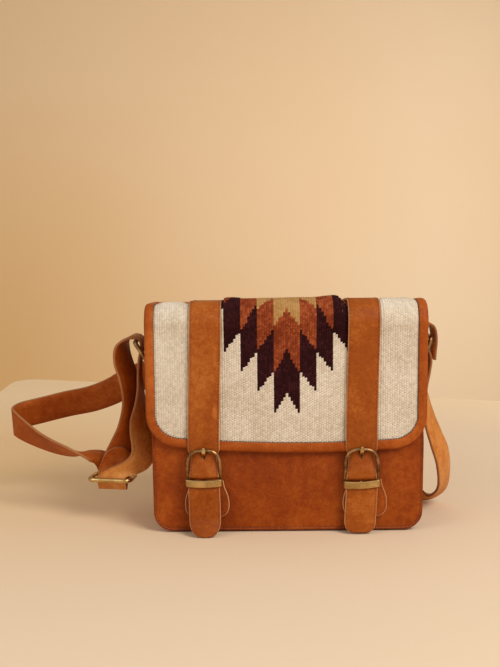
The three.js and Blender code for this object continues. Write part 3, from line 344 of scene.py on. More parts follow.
body_leather = leather("body_leather")
welt_leather = leather("welt_leather")
binding_leather = leather("binding_leather")
flap_strap_leather = leather("flap_strap_leather", scuffed=True)
shoulder_leather = leather("shoulder_leather", with_painted_light=True)
print("leathers:", list(LEATHER_TONES))

# %% [markdown]
# The cut edges of the flap's leather stay raw: a thin pale line that frames every strap in the
# photograph. The shoulder strap's edges are rubbed with wax and darker. The flesh side of the
# leather is matt and brown with a short nap. All are the same leather without its finish, so
# they are rough, with a fibre noise in place of pores.

# %% Raw edges and flesh side
def raw_leather(name, dark, pale, size, nap=0.0):
    """Unwaxed leather fibre, with a nap that catches side light."""
    material, tree, shader, place = new_material(name)
    fibre = noise_of(tree, place, 1 / size, 6.0, Roughness=0.7)
    patches = noise_of(tree, place, 28.0, 3.0)
    tone = reckon(tree, "MULTIPLY_ADD", fibre, 0.5, spread(tree, patches, 0.3, 0.7, 0.0, 0.5))
    painted(tree, shader, ramp(tree, tone, [(0.25, dark), (0.75, pale)]), 0.85)
    shader.inputs["Sheen Weight"].default_value = nap
    bumped(tree, shader, [(fibre, 0.35, 0.0004)])
    return material


raw_edge = raw_leather("raw_edge", (0.40, 0.17, 0.06), (0.60, 0.31, 0.14), 0.0012)
strap_edge = raw_leather("strap_edge", (0.24, 0.070, 0.016), (0.40, 0.15, 0.045), 0.0012)
flesh_side = raw_leather("flesh_side", (0.13, 0.035, 0.008), (0.26, 0.075, 0.018), 0.0016, 0.15)
flap_suede = raw_leather("flap_suede", (0.16, 0.050, 0.014), (0.26, 0.090, 0.028), 0.0018, 0.2)
unwaxed = (raw_edge, strap_edge, flesh_side, flap_suede)
print("unwaxed leathers:", [leather.name for leather in unwaxed])

# %% [markdown]
# The shoulder strap is one long strip of leather. From its sewn end it goes round the
# slider's bar, up through the left ring, down and round the slider again, out to the left,
# behind the bag and up into the right ring, where its end is folded down and sewn. Its
# route is the solid's list of points, eased where it turns into the slider and behind the left
# ring. Each point carries the direction across the strap too, because a flat strap that twists
# needs one. A curve with a bevel can't show two faces and a raw edge, so the strap is a skin of
# sections, smooth along the route.

# %% The shoulder strap's route
STRAP_ROUTE = [
    (-151.8, 0.4, 71, -0.8, -0.45, 0.41),
    (-157.3, 0.2, 60, -0.99, -0.15, 0),
    (-161.2, -1.2, 49, -0.99, 0.16, 0),
    (-162, -1.6, 42.5, -0.99, 0.17, 0),
    (-162, 2, 38.2, -0.99, 0.17, 0),
    (-162, 5.6, 42.5, -0.99, 0.17, 0),
    (-161.2, 5.2, 49, -0.99, 0.16, 0),
    (-157.3, 3.6, 60, -0.99, -0.15, 0),
    (-151.5, 3.8, 72, -0.82, -0.48, 0.32),
    (-145.7, 3.4, 89, -0.7, -0.7, 0.16),
    (-142.4, 2.4, 106, -0.61, -0.79, 0.01),
    (-142, 1, 121, -0.54, -0.83, -0.11),
    (-145.2, 0, 138, -0.48, -0.87, -0.14),
    (-149.6, 0, 153, -0.47, -0.88, -0.09),
    (-150.2, 0, 165, -0.35, -0.93, 0.07),
    (-146, 0, 172.6, -0.07, -1, 0.07),
    (-138.3, 0, 175.4, 0, -1, 0),
    (-132.4, 0, 173.5, 0, -1, 0),
    (-130.8, 0, 166.5, 0, -1, 0),
    (-133.2, 0, 156, 0, -1, 0),
    (-134.4, 0, 142, 0, -1, -0.04),
    (-134.4, 1, 128, -0.05, -1, -0.07),
    (-135, 2, 113, -0.22, -0.97, -0.05),
    (-136.3, 3, 98, -0.46, -0.89, 0.01),
    (-134.5, 2.4, 84, -0.64, -0.77, 0.02),
    (-132.6, 1, 73, -0.68, -0.72, 0.12),
    (-133.2, -0.6, 62.5, -0.72, -0.64, 0.26),
    (-139.5, -2.6, 54.8, -0.8, -0.52, 0.3),
    (-151, -4.4, 49.5, -0.93, -0.12, 0.22),
    (-161.8, -5.2, 44, -0.99, 0.17, 0),
    (-162, -4.6, 38.5, -0.99, 0.17, 0),
    (-162, 1.8, 31.5, -0.99, 0.17, 0),
    (-162.3, 8.8, 38.5, -0.99, 0.17, 0),
    (-162.8, 9.5, 45, -0.99, 0.15, 0),
    (-166.5, 9.4, 53.5, -0.95, -0.25, 0.05),
    (-177, 9.6, 60.5, -0.5, -0.85, -0.05),
    (-188.5, 10.5, 63.2, -0.15, -0.98, 0.1),
    (-202, 13, 64, -0.12, -0.86, 0.49),
    (-218, 18, 67.5, -0.12, -0.74, 0.66),
    (-234, 26, 72.5, -0.07, -0.63, 0.78),
    (-249, 35, 78.5, 0.05, -0.49, 0.87),
    (-261, 44, 84, 0.07, -0.33, 0.94),
    (-265.5, 54, 86.5, -0.01, -0.26, 0.96),
    (-259, 64, 89.5, -0.08, -0.25, 0.96),
    (-241, 71, 93, -0.11, -0.25, 0.96),
    (-216, 74, 98.6, -0.14, -0.26, 0.96),
    (-191, 74, 103.6, -0.25, -0.24, 0.94),
    (-169, 69, 112.4, -0.46, -0.17, 0.87),
    (-148, 59, 125, -0.5, -0.08, 0.86),
    (-126, 48, 132.6, -0.23, -0.02, 0.97),
    (-95, 42.5, 133, 0.15, 0, 0.99),
    (-55, 41.5, 120, 0.38, 0, 0.92),
    (-10, 41.5, 98, 0.46, 0, 0.89),
    (35, 42, 74, 0.49, 0, 0.87),
    (70, 43.5, 53, 0.56, -0.04, 0.83),
    (98, 46.5, 32, 0.6, -0.24, 0.76),
    (120, 49.5, 15.5, 0.39, -0.61, 0.69),
    (138, 46.5, 9.5, -0.26, -0.77, 0.58),
    (149.5, 38.5, 14, -0.7, -0.7, -0.05),
    (153, 23, 32, -0.53, -0.73, -0.43),
    (148.8, 9, 57, -0.5, -0.75, -0.44),
    (141.2, 3, 77, -0.46, -0.82, -0.33),
    (134.8, 1, 95, -0.42, -0.88, -0.2),
    (131.3, 0, 112, -0.3, -0.95, -0.08),
    (130.6, 0, 128, -0.1, -1, 0),
    (131.8, 0, 142, 0, -1, 0),
    (133, 0, 154, 0, -1, 0),
    (129.6, 0, 165, 0, -1, 0),
    (126.8, 0, 176, 0, -1, 0),
    (130.4, 0, 185.2, 0, -1, 0),
    (135.8, 0, 182.5, 0, -1, 0),
    (137.6, 0, 172, 0, -1, 0),
    (137, 0, 162, 0, -1, 0),
    (136.4, 0, 153, 0, -1, 0),
]
RING_KNOT = 16
SLIDER_KNOT = 32
ROUTE_STEPS = 6

route = through(STRAP_ROUTE, ROUTE_STEPS)
strap_centres = route[:, :3]
strap_across = unit(route[:, 3:])
strap_along = unit(np.gradient(strap_centres, axis=0))
strap_out = unit(np.cross(strap_across, strap_along))
strap_length = float(np.linalg.norm(np.diff(strap_centres, axis=0), axis=1).sum())
print("shoulder strap is", round(strap_length), "mm long")

# %% [markdown]
# A strap's section has a grain face with a pressed line near each edge, two rounded edges and
# an inner face, each with a material of its own. The same section serves the shoulder strap,
# the flap straps and the small tabs. One ring of its points stands at every place along a
# strap, and a skin over the rings makes the leather.

# %% A strap's section
GRAIN = 0
EDGE = 1
FLESH = 2


def strap_section(half_width, half_thick, press=0.22, inset=2.4):
    """Points (across, out) of a leather strap's section, and the material of the face after each."""
    corner = min(0.6, 0.5 * half_thick)
    shoulder = 0.55 * half_thick
    set_back = 0.12
    groove = 0.5
    side = [
        (half_width - corner, half_thick, EDGE),
        (half_width - set_back, shoulder, EDGE),
        (half_width, 0.0, EDGE),
        (half_width - set_back, -shoulder, EDGE),
        (half_width - corner, -half_thick, FLESH),
    ]
    line = half_width - inset
    top = [
        (-half_width + corner, half_thick, GRAIN),
        (-line - groove, half_thick, GRAIN),
        (-line, half_thick - press, GRAIN),
        (-line + groove, half_thick, GRAIN),
        (-0.5 * line, half_thick, GRAIN),
        (0.5 * line, half_thick, GRAIN),
        (line - groove, half_thick, GRAIN),
        (line, half_thick - press, GRAIN),
        (line + groove, half_thick, GRAIN),
    ]
    back = [
        (0.5 * line, -half_thick, FLESH),
        (-0.5 * line, -half_thick, FLESH),
        (-half_width + corner, -half_thick, EDGE),
        (-half_width + set_back, -shoulder, EDGE),
        (-half_width, 0.0, EDGE),
        (-half_width + set_back, shoulder, EDGE),
    ]
    points = top + side + back
    return [(a, b) for a, b, slot in points], [slot for a, b, slot in points]


def strap_rows(centres, across, out, section, widths=None, domes=None):
    """One ring of points for each place along a strap.

    widths narrows the rings, and domes bends their edges back by so much.
    """
    half = max(a for a, b in section)
    rows = []
    for i, (centre, side, lift) in enumerate(zip(centres, across, out)):
        share = 1.0 if widths is None else widths[i]
        dome = 0.0 if domes is None else domes[i]
        row = []
        for a, b in section:
            row.append(centre + side * (a * share) + lift * (b - dome * (a / half) ** 2))
        rows.append(row)
    return rows


SHOULDER_SECTION, SHOULDER_SLOTS = strap_section(14.0, 1.2)
print("a strap's section has", len(SHOULDER_SECTION), "points")

# %% [markdown]
# The shoulder strap is two layers glued back to back, so its inner face is leather too. It is
# made in three pieces that meet face to face, on the left ring and behind the slider: the tip
# with its way up to the ring, the loop from there down to the slider, and the long run behind
# the bag. The sewn tip beside the slider is cut round. Light and shade are painted on the strap
# as paler and darker tones: on the right of the bag both faces get a painted highlight in a
# bright tan, and so does the stretch between the left ring and the slider, which the bag would
# shade; the tip and the far left bend get painted shade in the darker tone. The rest of the grain
# face is a little paler than the inner face, partly its own tone and partly painted light.

# %% Cords: the shoulder strap in three pieces
TIP_LENGTH = 12.0
TIP_LEAST = 0.03
# Shares of the paler tones: painted light on the right of the bag and on the loop beside the slider,
# painted shade at the tip and the far left bend; the grain face's share is partly its own paler tone
# and partly painted light.
GRAIN_TONE_AND_LIGHT = 0.45
PAINTED_LIGHT_X = (10.0, 110.0)
LIT_LOOP_FROM = (19.0, 23.0)
LIT_LOOP_TO = (28.0, 32.0)
SHADED_TIP = (18.0, 30.0)
SHADED_BEND_X = (-215.0, -175.0)


def strap_piece(name, first, last):
    """The part of the shoulder strap from one sample of the route to another."""
    span = slice(first, last + 1)
    steps = np.linalg.norm(np.diff(strap_centres[: last + 1], axis=0), axis=1)
    from_tip = np.concatenate([[0.0], np.cumsum(steps)])[span]
    widths = np.sqrt(np.maximum(TIP_LEAST, 1 - np.clip(1 - from_tip / TIP_LENGTH, 0, 1) ** 2))
    lie = (strap_centres[span], strap_across[span], strap_out[span])
    rows = strap_rows(*lie, SHOULDER_SECTION, widths)
    points, faces, slots = skin(rows, column_slots=SHOULDER_SLOTS, cap_slot=EDGE)
    slots = [EDGE if slot == EDGE else GRAIN for slot in slots]
    x = strap_centres[span][:, 0]
    knot = np.arange(first, last + 1) / ROUTE_STEPS
    # Painted light on the right and on the loop beside the slider; painted shade at the tip and the
    # far left bend.
    lit_at_right = ease(*PAINTED_LIGHT_X, x)
    lit_loop = ease(*LIT_LOOP_FROM, knot) * (1 - ease(*LIT_LOOP_TO, knot))
    strap_shade = np.maximum(1 - ease(*SHADED_TIP, from_tip), 1 - ease(*SHADED_BEND_X, x))
    grain_light = GRAIN_TONE_AND_LIGHT * (1 - strap_shade) * (1 - lit_loop) + lit_loop
    grain_light = np.maximum(grain_light, lit_at_right)
    on_grain = [out > 0 for across, out in SHOULDER_SECTION]
    tone_and_painted_light = [g if grain else f for g, f in zip(grain_light, lit_at_right) for grain in on_grain]
    part = (points, faces, slots)
    piece = make_piece(name, [part], [shoulder_leather, strap_edge], tone_and_painted_light=tone_and_painted_light)
    path = [tuple(p * MM) for p in strap_centres[span]]
    length = float(np.linalg.norm(np.diff(strap_centres[span], axis=0), axis=1).sum()) * MM
    return piece, path, length


ring_row = RING_KNOT * ROUTE_STEPS
slider_row = SLIDER_KNOT * ROUTE_STEPS
strap_tip, tip_path, tip_length = strap_piece("strap_tip", 0, ring_row)
strap_loop, loop_path, loop_length = strap_piece("strap_loop", ring_row, slider_row)
strap_run, run_path, run_length = strap_piece("strap_run", slider_row, len(route) - 1)
print("strap pieces:", [round(long, 3) for long in (tip_length, loop_length, run_length)], "m")

# %% [markdown]
# Antique brass is darkened on purpose and polished again where hands touch it. Metal gets
# its look from what it mirrors, so the material only sets a dark patina in patches, a lighter
# brass between them, and a roughness that follows the same patches. The wire is darker than
# the flat keepers and the slider, which hands rub bright.

# %% Antique brass
BRASS_TONES = {
    "antique_brass": [(0.10, 0.045, 0.015), (0.26, 0.135, 0.052), (0.54, 0.33, 0.15)],
    "rubbed_brass": [(0.36, 0.210, 0.070), (0.52, 0.330, 0.120), (0.68, 0.46, 0.19)],
}
BRASS_STOPS = (0.33, 0.5, 0.68)


def brass(name, patch):
    """Darkened brass in three tones, with polished patches of so many metres and fine scratches."""
    material, tree, shader, place = new_material(name)
    patches = noise_of(tree, place, 1 / patch, 5.0, Roughness=0.6)
    scratches = noise_of(tree, place, 1400.0, 2.0)
    colour = ramp(tree, patches, list(zip(BRASS_STOPS, BRASS_TONES[name])))
    painted(tree, shader, colour, spread(tree, patches, 0.3, 0.7, 0.44, 0.26))
    shader.inputs["Metallic"].default_value = 1.0
    bumped(tree, shader, [(scratches, 0.12, 0.0001)])
    return material


antique_brass = brass("antique_brass", 0.008)
rubbed_brass = brass("rubbed_brass", 0.012)
print("brass:", list(BRASS_TONES))

# %% [markdown]
# The metal loops are bent wire: two rings at the bag's sides, the slider on the strap and the
# two buckle frames. A wire is a round section carried along a closed line. The line's own
# plane gives the section its two directions, so nothing twists. The rings and the slider are
# rectangles with rounded corners.

# %% Bent wire
WIRE_SIDES = 14


def wire_rows(line, plane_normal, radius, closed=True):
    """Round sections along a line of points that bends in or near one plane."""
    line = np.asarray(line, float)
    if closed:
        along = unit(np.roll(line, -1, axis=0) - np.roll(line, 1, axis=0))
    else:
        along = unit(np.gradient(line, axis=0))
    side = unit(np.cross(along, np.asarray(plane_normal, float)))
    up = unit(np.cross(side, along))
    turns = np.linspace(0, 2 * math.pi, WIRE_SIDES, endpoint=False)
    return [
        [c + radius * (math.cos(t) * s + math.sin(t) * u) for t in turns]
        for c, s, u in zip(line, side, up)
    ]


def rounded_box_line(half, low, high, radius, steps=8):
    """A closed line round a rectangle with rounded corners, evenly filled along its sides."""
    line = []
    corners = [
        (half - radius, low + radius, -90),
        (half - radius, high - radius, 0),
        (-half + radius, high - radius, 90),
        (-half + radius, low + radius, 180),
    ]
    for a, b, start in corners:
        for k in range(steps + 1):
            angle = math.radians(start + 90 * k / steps)
            line.append((a + radius * math.cos(angle), b + radius * math.sin(angle)))
    filled = []
    for (a, b), (c, d) in zip(line, line[1:] + line[:1]):
        pieces = max(1, int(math.hypot(c - a, d - b) / 1.5))
        filled += [(a + (c - a) * k / pieces, b + (d - b) * k / pieces) for k in range(pieces)]
    return filled


print("wire has", WIRE_SIDES, "sides")

# %% [markdown]
# Each side ring leans out from its bar on the bag, by its own angle in the photograph. The slider
# lies level on the strap, with a thinner bar across its middle that the strap is folded round.

# %% Rings and slider
RING_WIRE = 2.0
RING_HALF = 17.5
RING_REACH = 21.0
RING_CORNER = 3.5
RING_BAR_X = 125.0
RING_BAR_Z = 154.0
RING_TILTS = {"left": 58.0, "right": 70.0}
SIDES = {"left": -1.0, "right": 1.0}
for side, sign in SIDES.items():
    tilt = math.radians(RING_TILTS[side])
    lean = np.array((sign * math.cos(tilt), 0.0, math.sin(tilt)))
    start = np.array((sign * RING_BAR_X, 0.0, RING_BAR_Z))
    flat_line = rounded_box_line(RING_HALF, 0.0, RING_REACH, RING_CORNER)
    line = [start + np.array((0, a, 0)) + lean * b for a, b in flat_line]
    rows = wire_rows(line, np.cross((0, 1, 0), lean), RING_WIRE)
    ring = make_piece("ring_" + side, [skin(rows, closed_route=True)], [antique_brass])
    dress(ring, "ring_" + side, "side_ring_" + side)

SLIDER_CENTRE = np.array((-162.0, 2.0, 42.0))
SLIDER_YAW = math.radians(-9.65)
SLIDER_HALF = 19.2
SLIDER_SPACING = 12.0
SLIDER_WIRE = 2.2
SLIDER_CORNER = 5.0
SLIDER_BAR_WIRE = 1.1
slider_along = np.array((math.cos(SLIDER_YAW), math.sin(SLIDER_YAW), 0.0))
slider_across = np.array((-math.sin(SLIDER_YAW), math.cos(SLIDER_YAW), 0.0))
line = [
    SLIDER_CENTRE + slider_along * a + slider_across * b
    for a, b in rounded_box_line(SLIDER_HALF, -SLIDER_SPACING, SLIDER_SPACING, SLIDER_CORNER)
]
slider_frame = skin(wire_rows(line, (0, 0, 1), SLIDER_WIRE), closed_route=True)
bar_line = [SLIDER_CENTRE + slider_along * (SLIDER_HALF * k / 8) for k in range(-8, 9)]
slider_bar = skin(wire_rows(bar_line, (0, 0, 1), SLIDER_BAR_WIRE, closed=False))
slider = make_piece("strap_slider", [slider_frame, slider_bar], [rubbed_brass])
dress(slider, "bag", "slider")
print("slider:", len(slider.data.polygons), "faces")

# %% [markdown]
# Now the shoulder strap's pieces are baked where they lie, and the strap's solid is hidden. Its
# length along the route is printed.

# %% The strap's pieces in place
for piece in (strap_tip, strap_loop):
    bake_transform(piece)
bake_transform(strap_run)
for piece in (strap_tip, strap_loop, strap_run):
    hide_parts("shoulder_strap")
print("cords declared:", round(tip_length + loop_length + run_length, 3), "m in all")

# %% [markdown]
# The body is cut from flat leather: a front, a back and one strip between them. Sewn up and
# filled, a panel is no plate: its edge is a rolled welt, the thread pulls a groove into it a
# few millimetres inside, and its middle swells. So a plate of leather is made of rings from
# its edge inwards, each with its own height. The photograph shows the body's lower right side
# a little wider than the left, so its outline is spread there.

# %% Outlines and plates
BODY_HALF = 122.0
SIDE_TAPER = 1.6
BASE_RADIUS = 17.0
RIGHT_SPREAD = 2.7


def body_outline(half, low, top, radius, side_points=22, arc_points=10, flat_points=44):
    """The body's outline (x, z), down its left side, along its base and up its right side."""
    low_half = half - SIDE_TAPER
    left = []
    for k in range(side_points):
        t = k / side_points
        left.append((-half + SIDE_TAPER * t, top + (low + radius - top) * t))
    for k in range(arc_points):
        angle = math.radians(180 + 90 * k / arc_points)
        x = -low_half + radius + radius * math.cos(angle)
        left.append((x, low + radius + radius * math.sin(angle)))
    base = []
    for k in range(flat_points + 1):
        base.append((-low_half + radius + 2 * (low_half - radius) * k / flat_points, low))
    right = [(-x, z) for x, z in reversed(left)]
    outline = []
    for x, z in left + base + right:
        spread_here = RIGHT_SPREAD * float(ease(40.0, 108.0, x) * (1 - ease(80.0, 122.0, z)))
        outline.append((x + spread_here, z))
    return outline


def inset_ring(outline, inset):
    """The closed outline moved inwards, point by point."""
    ring = np.asarray(outline, float)
    before = unit(ring - np.roll(ring, 1, axis=0))
    after = unit(np.roll(ring, -1, axis=0) - ring)
    n1 = np.stack([-before[:, 1], before[:, 0]], axis=1)
    n2 = np.stack([-after[:, 1], after[:, 0]], axis=1)
    share = 1 + (n1 * n2).sum(axis=1, keepdims=True)
    return ring + inset * (n1 + n2) / np.maximum(share, 0.3)


def plate(outline, edge, spine, fill, swell, place):
    """A leather plate from its hidden face, round its edge, to its middle.

    edge lists (inset, height) from the hidden face to the last inset ring; the rest closes on
    the spine, a function of a ring point, in so many fills; swell adds height, place puts
    (a, b, height) in space.
    """
    rings = []
    for inset, height in edge:
        rings.append([(a, b, height) for a, b in inset_ring(outline, inset)])
    inner = np.array(rings[-1])
    targets = np.array([spine(a, b) for a, b, h in inner])
    for k in range(1, fill + 1):
        t = k / fill
        ring = []
        for p, q in zip(inner, targets):
            ring.append((p[0] + (q[0] - p[0]) * t, p[1] + (q[1] - p[1]) * t, p[2]))
        rings.append(ring)
    rows = [[place(a, b, h + swell(a, b, i)) for a, b, h in ring] for i, ring in enumerate(rings)]
    points, faces, slots = skin(rows, capped=False)
    faces.append(tuple(range(len(rows[0]))))
    slots.append(0)
    return points, faces, slots


print("body is", 2 * BODY_HALF, "mm wide at its top")

# %% [markdown]
# The front and back panels are such plates. Their first rings go round the welt, in a darker
# leather, and dip where the thread pulls. The middle swells below the flap and is a little
# uneven; where the flap or the hinge band lies on it, it stays flat.

# %% Front and back panels
PANEL_LIFT = 1.2
PANEL_TOPS = {"front": 191.0, "back": 197.0}
PANEL_FACES = {"front": (-35.0, -1.0), "back": (35.0, 1.0)}
WELT = [
    (1.3, -2.0),
    (0.3, -1.75),
    (0.0, -1.1),
    (0.15, -0.35),
    (0.6, 0.15),
    (1.2, 0.3),
    (1.8, 0.12),
    (2.3, -0.3),
    (2.7, -0.4),
    (3.2, -0.25),
    (4.2, 0.0),
    (6.5, 0.05),
    (9.0, 0.1),
    (12.0, 0.1),
]
WELT_RINGS = 6
FLAT_RINGS = 5
FLAP_LOW_Z = 73.5
SPINE_HALF = 45.0
PANEL_FILL = 14
SWELL_HALF = 121.0
SWELL_RISE = (3.0, 32.0)
SWELL_HEIGHTS = {"front": 1.5, "back": 1.0}
SWELL_ENDS = {"front": (52.0, FLAP_LOW_Z - 4), "back": (135.0, 158.0)}


def panel_outline(top):
    """The body's outline closed along its upper edge, with bare corners that rings can turn round."""
    clear = WELT[-1][0] + 1.0
    sides = body_outline(BODY_HALF, PANEL_LIFT, top, BASE_RADIUS)
    sides = [(x, z) for x, z in sides if z == top or z < top - clear]
    upper = [(x, top) for x in np.linspace(BODY_HALF - clear, clear - BODY_HALF, 40)]
    return sides + upper


for name, (face_y, sign) in PANEL_FACES.items():
    outline = panel_outline(PANEL_TOPS[name])
    middle_z = 0.5 * (PANEL_LIFT + PANEL_TOPS[name])

    def to_spine(a, b, z=middle_z):
        return np.clip(a, -SPINE_HALF, SPINE_HALF), z

    def swelling(a, b, ring, panel=name):
        if ring < FLAT_RINGS:
            return 0.0
        inside = ease(*SWELL_RISE, min(SWELL_HALF - abs(a), b - 1.0))
        below_flap = 1.0 - ease(*SWELL_ENDS[panel], b)
        wave = 0.55 * ripple((a, 0, b), 42.0, 3.0) + 0.25 * ripple((a, 0, b), 17.0, 8.0)
        return inside * below_flap * (SWELL_HEIGHTS[panel] + wave)

    def on_face(a, b, h, y=face_y, s=sign):
        return (a, y + s * h, b)

    points, faces, slots = plate(outline, WELT, to_spine, PANEL_FILL, swelling, on_face)
    slots = [1 if i < WELT_RINGS * len(outline) else slot for i, slot in enumerate(slots)]
    panel = make_piece(name + "_leather", [(points, faces, slots)], [body_leather, welt_leather])
    dress(panel, "bag", name + "_panel")
    print(name, "panel:", len(panel.data.polygons), "faces")

# %% [markdown]
# Between the panels runs one strip of leather, down one side, along the base and up the
# other. Its edges turn in under the welts, its sides bulge a little where the bag is filled,
# and the base stays flat on the table.

# %% Gusset
GUSSET_HALF = 121.0
GUSSET_HALF_DEPTH = 32.7
GUSSET_TOP = 194.0
GUSSET_THICK = 2.0
GUSSET_COLUMNS = 16
GUSSET_BULGE = 1.8
GUSSET_TURN = 0.9
gusset_line = np.array(body_outline(GUSSET_HALF, 0.0, GUSSET_TOP, BASE_RADIUS, 30, 12, 40))
gusset_ways = unit(np.gradient(gusset_line, axis=0))
gusset_in = np.stack([-gusset_ways[:, 1], gusset_ways[:, 0]], axis=1)
gusset_depths = np.linspace(-1, 1, GUSSET_COLUMNS + 1)
rows = []
for (x, z), (nx, nz) in zip(gusset_line, gusset_in):
    sides = ease(14.0, 40.0, z) * (1 - ease(96.0, 126.0, z))
    outer = []
    inner = []
    for share in gusset_depths:
        y = GUSSET_HALF_DEPTH * share
        bow = 1 - share * share
        wave = ripple((x, y, z), 30.0, 5.0)
        bulge = sides * bow * (GUSSET_BULGE + 0.8 * wave) + 0.25 * ease(10.0, 30.0, z) * bow * wave
        turned = GUSSET_TURN * ease(0.93, 1.0, abs(share))
        outer.append((x + nx * (turned - bulge), y, z + nz * (turned - bulge)))
        inner.append((x + nx * (GUSSET_THICK - bulge), y, z + nz * (GUSSET_THICK - bulge)))
    rows.append(outer + inner[::-1])
slots = [GRAIN] * GUSSET_COLUMNS + [EDGE] + [FLESH] * GUSSET_COLUMNS + [EDGE]
part = skin(rows, column_slots=slots, cap_slot=EDGE)
gusset = make_piece("gusset_leather", [part], [body_leather, raw_edge, flap_suede], sharp=50)
dress(gusset, "bag", "gusset")
print("gusset:", len(gusset.data.polygons), "faces")

# %% [markdown]
# Inside hangs a cotton pouch. Nobody sees it until the flap opens, but then it has to look
# like cloth: it follows the body, hangs in shallow vertical folds and is a little rumpled at
# the bottom. It is a skin of rings, outer face first, then down the inner face.

# %% Lining
def cotton_finish():
    """Plain woven cotton, with its threads as fine bumps."""
    material, tree, shader, place = new_material("lining_cotton")
    threads = []
    for scale, way in ((320.0, "DIAGONAL"), (420.0, "Z")):
        inputs = {"Vector": place, "Scale": scale, "Distortion": 0.6, "Detail": 1.0}
        wave = add(tree, "ShaderNodeTexWave", inputs, bands_direction=way)
        threads.append((wave.outputs["Fac"], 0.25, 0.0003))
    slub = noise_of(tree, place, 60.0, 5.0)
    colour = ramp(tree, slub, [(0.3, (0.25, 0.165, 0.085)), (0.7, (0.38, 0.27, 0.15))])
    painted(tree, shader, colour, 0.9)
    bumped(tree, shader, threads)
    return material


lining_cotton = cotton_finish()
LINING_TOP = 192.7
LINING_LOW = 3.0
LINING_THICK = 0.8
POUCH_HALF_X = 116.6
POUCH_HALF_Y = 31.6
POUCH_CORNER = 7.0
POUCH_BOTTOM = 13.0
POUCH_ROUND_X = 12.5
POUCH_ROUND_Y = 2.0


def pouch_ring(z, inwards):
    """One level of the pouch, moved inwards by so much and rumpled."""
    rise = min(1.0, (z - LINING_LOW) / POUCH_BOTTOM)
    drawn_in = 1 - math.sqrt(max(0.0, 1 - (1 - rise) ** 2))
    half_x = POUCH_HALF_X - POUCH_ROUND_X * drawn_in - inwards
    half_y = POUCH_HALF_Y - POUCH_ROUND_Y * (1 - rise) - inwards
    pull = ease(6.0, 60.0, z) * (1 - ease(160.0, 192.0, z))
    ring = []
    for a, b in rounded_box_line(half_x, -half_y, half_y, POUCH_CORNER, 5):
        fold = 0.5 + 0.5 * ripple((a, b, 0.25 * z), 16.0, 21.0)
        rumple = 1.6 * pull * fold + 0.5 * fold
        ring.append((a * (1 - rumple / 118.0), b * (1 - rumple / 33.0), z))
    return ring


def even_ring(points, count=150):
    """The ring with so many points, evenly spaced."""
    ring = np.array(points + points[:1])
    at = np.concatenate([[0], np.cumsum(np.linalg.norm(np.diff(ring, axis=0), axis=1))])
    want = np.linspace(0, at[-1], count, endpoint=False)
    return [tuple(np.interp(w, at, ring[:, k]) for k in range(3)) for w in want]


low_levels = [LINING_LOW, 3.6, 4.8, 7.0, 10.0, 14.0]
levels = np.concatenate([low_levels, np.linspace(20.0, LINING_TOP, 22)])
outside = [even_ring(pouch_ring(z, 0.0)) for z in levels]
inside = []
for z in levels[::-1]:
    inside.append(even_ring(pouch_ring(max(z, LINING_LOW + LINING_THICK), LINING_THICK)))
pouch = make_piece("lining_pouch", [skin(outside + inside)], [lining_cotton], sharp=60)
dress(pouch, "bag", "lining")
print("pouch:", len(pouch.data.polygons), "faces")

# %% [markdown]
# The flap is one sheet that rises a little from the hinge to the front edge, folds over it and
# hangs down. Everything on it is placed by three numbers: how far across, how far along from
# the hinge and how far out of the sheet. One function turns them into space, with the fold in
# it. The soft layers puff up along the ridge, but not under the straps, which hold them down,
# and the lower edge bows up a little at the sides.

# %% The flap's own map
FLAP_HALF = 125.5
FLAP_BACK_Y = 36.9
FLAP_BACK_Z = 198.8
FLAP_FRONT_Y = -36.9
TOP_SLOPE = math.radians(4.5)
FOLD_RADIUS = 14.0
FOLD_Y = FLAP_FRONT_Y + FOLD_RADIUS
TOP_RUN = (FLAP_BACK_Y - FOLD_Y - FOLD_RADIUS * math.sin(TOP_SLOPE)) / math.cos(TOP_SLOPE)
FOLD_Z = FLAP_BACK_Z + TOP_RUN * math.sin(TOP_SLOPE) - FOLD_RADIUS * math.cos(TOP_SLOPE)
FOLD_RUN = FOLD_RADIUS * (math.pi / 2 + TOP_SLOPE)
FRONT_RUN = TOP_RUN + FOLD_RUN
FLAP_RUN = FRONT_RUN + FOLD_Z - FLAP_LOW_Z
FLAP_CORNER = 29.0
CLOSURE_X = {"left": -74.0, "right": 66.7}
STRAP_TOP_SHIFTS = {"left": 2.6, "right": 2.2}
TAIL_LEANS = {"left": 0.7, "right": -1.2}
FLAP_STRAP_HALF = 14.2
CENTRE_PUFF = 4.8
SIDE_PUFF = 2.8
STRAP_SIDE_PUFF = 1.3
LEAST_PUFF = 0.8
RIDGE_TILT = 0.011
LOW_LIFT = 0.6
LOW_BOW = 6.6
LOW_TILT = 0.013


def puff(across, run):
    """How far the soft layers swell out of the sheet along the ridge."""
    past_fold = ease(TOP_RUN + 0.35 * FOLD_RUN, FRONT_RUN + 14.0, run)
    on_ridge = ease(6.0, 0.85 * TOP_RUN, run) * (1 - past_fold)
    beside_strap = min(abs(across - x) for x in CLOSURE_X.values()) - FLAP_STRAP_HALF
    height = SIDE_PUFF
    if CLOSURE_X["left"] < across < CLOSURE_X["right"]:
        past_strap = ease(11.0, 26.0, beside_strap)
        height = CENTRE_PUFF + STRAP_SIDE_PUFF * ease(0.0, 8.0, beside_strap) * (1 - past_strap)
    free = ease(-1.5, 7.0, beside_strap) * ease(6.0, 18.0, FLAP_HALF - abs(across))
    return on_ridge * (LEAST_PUFF + height * free + RIDGE_TILT * across)


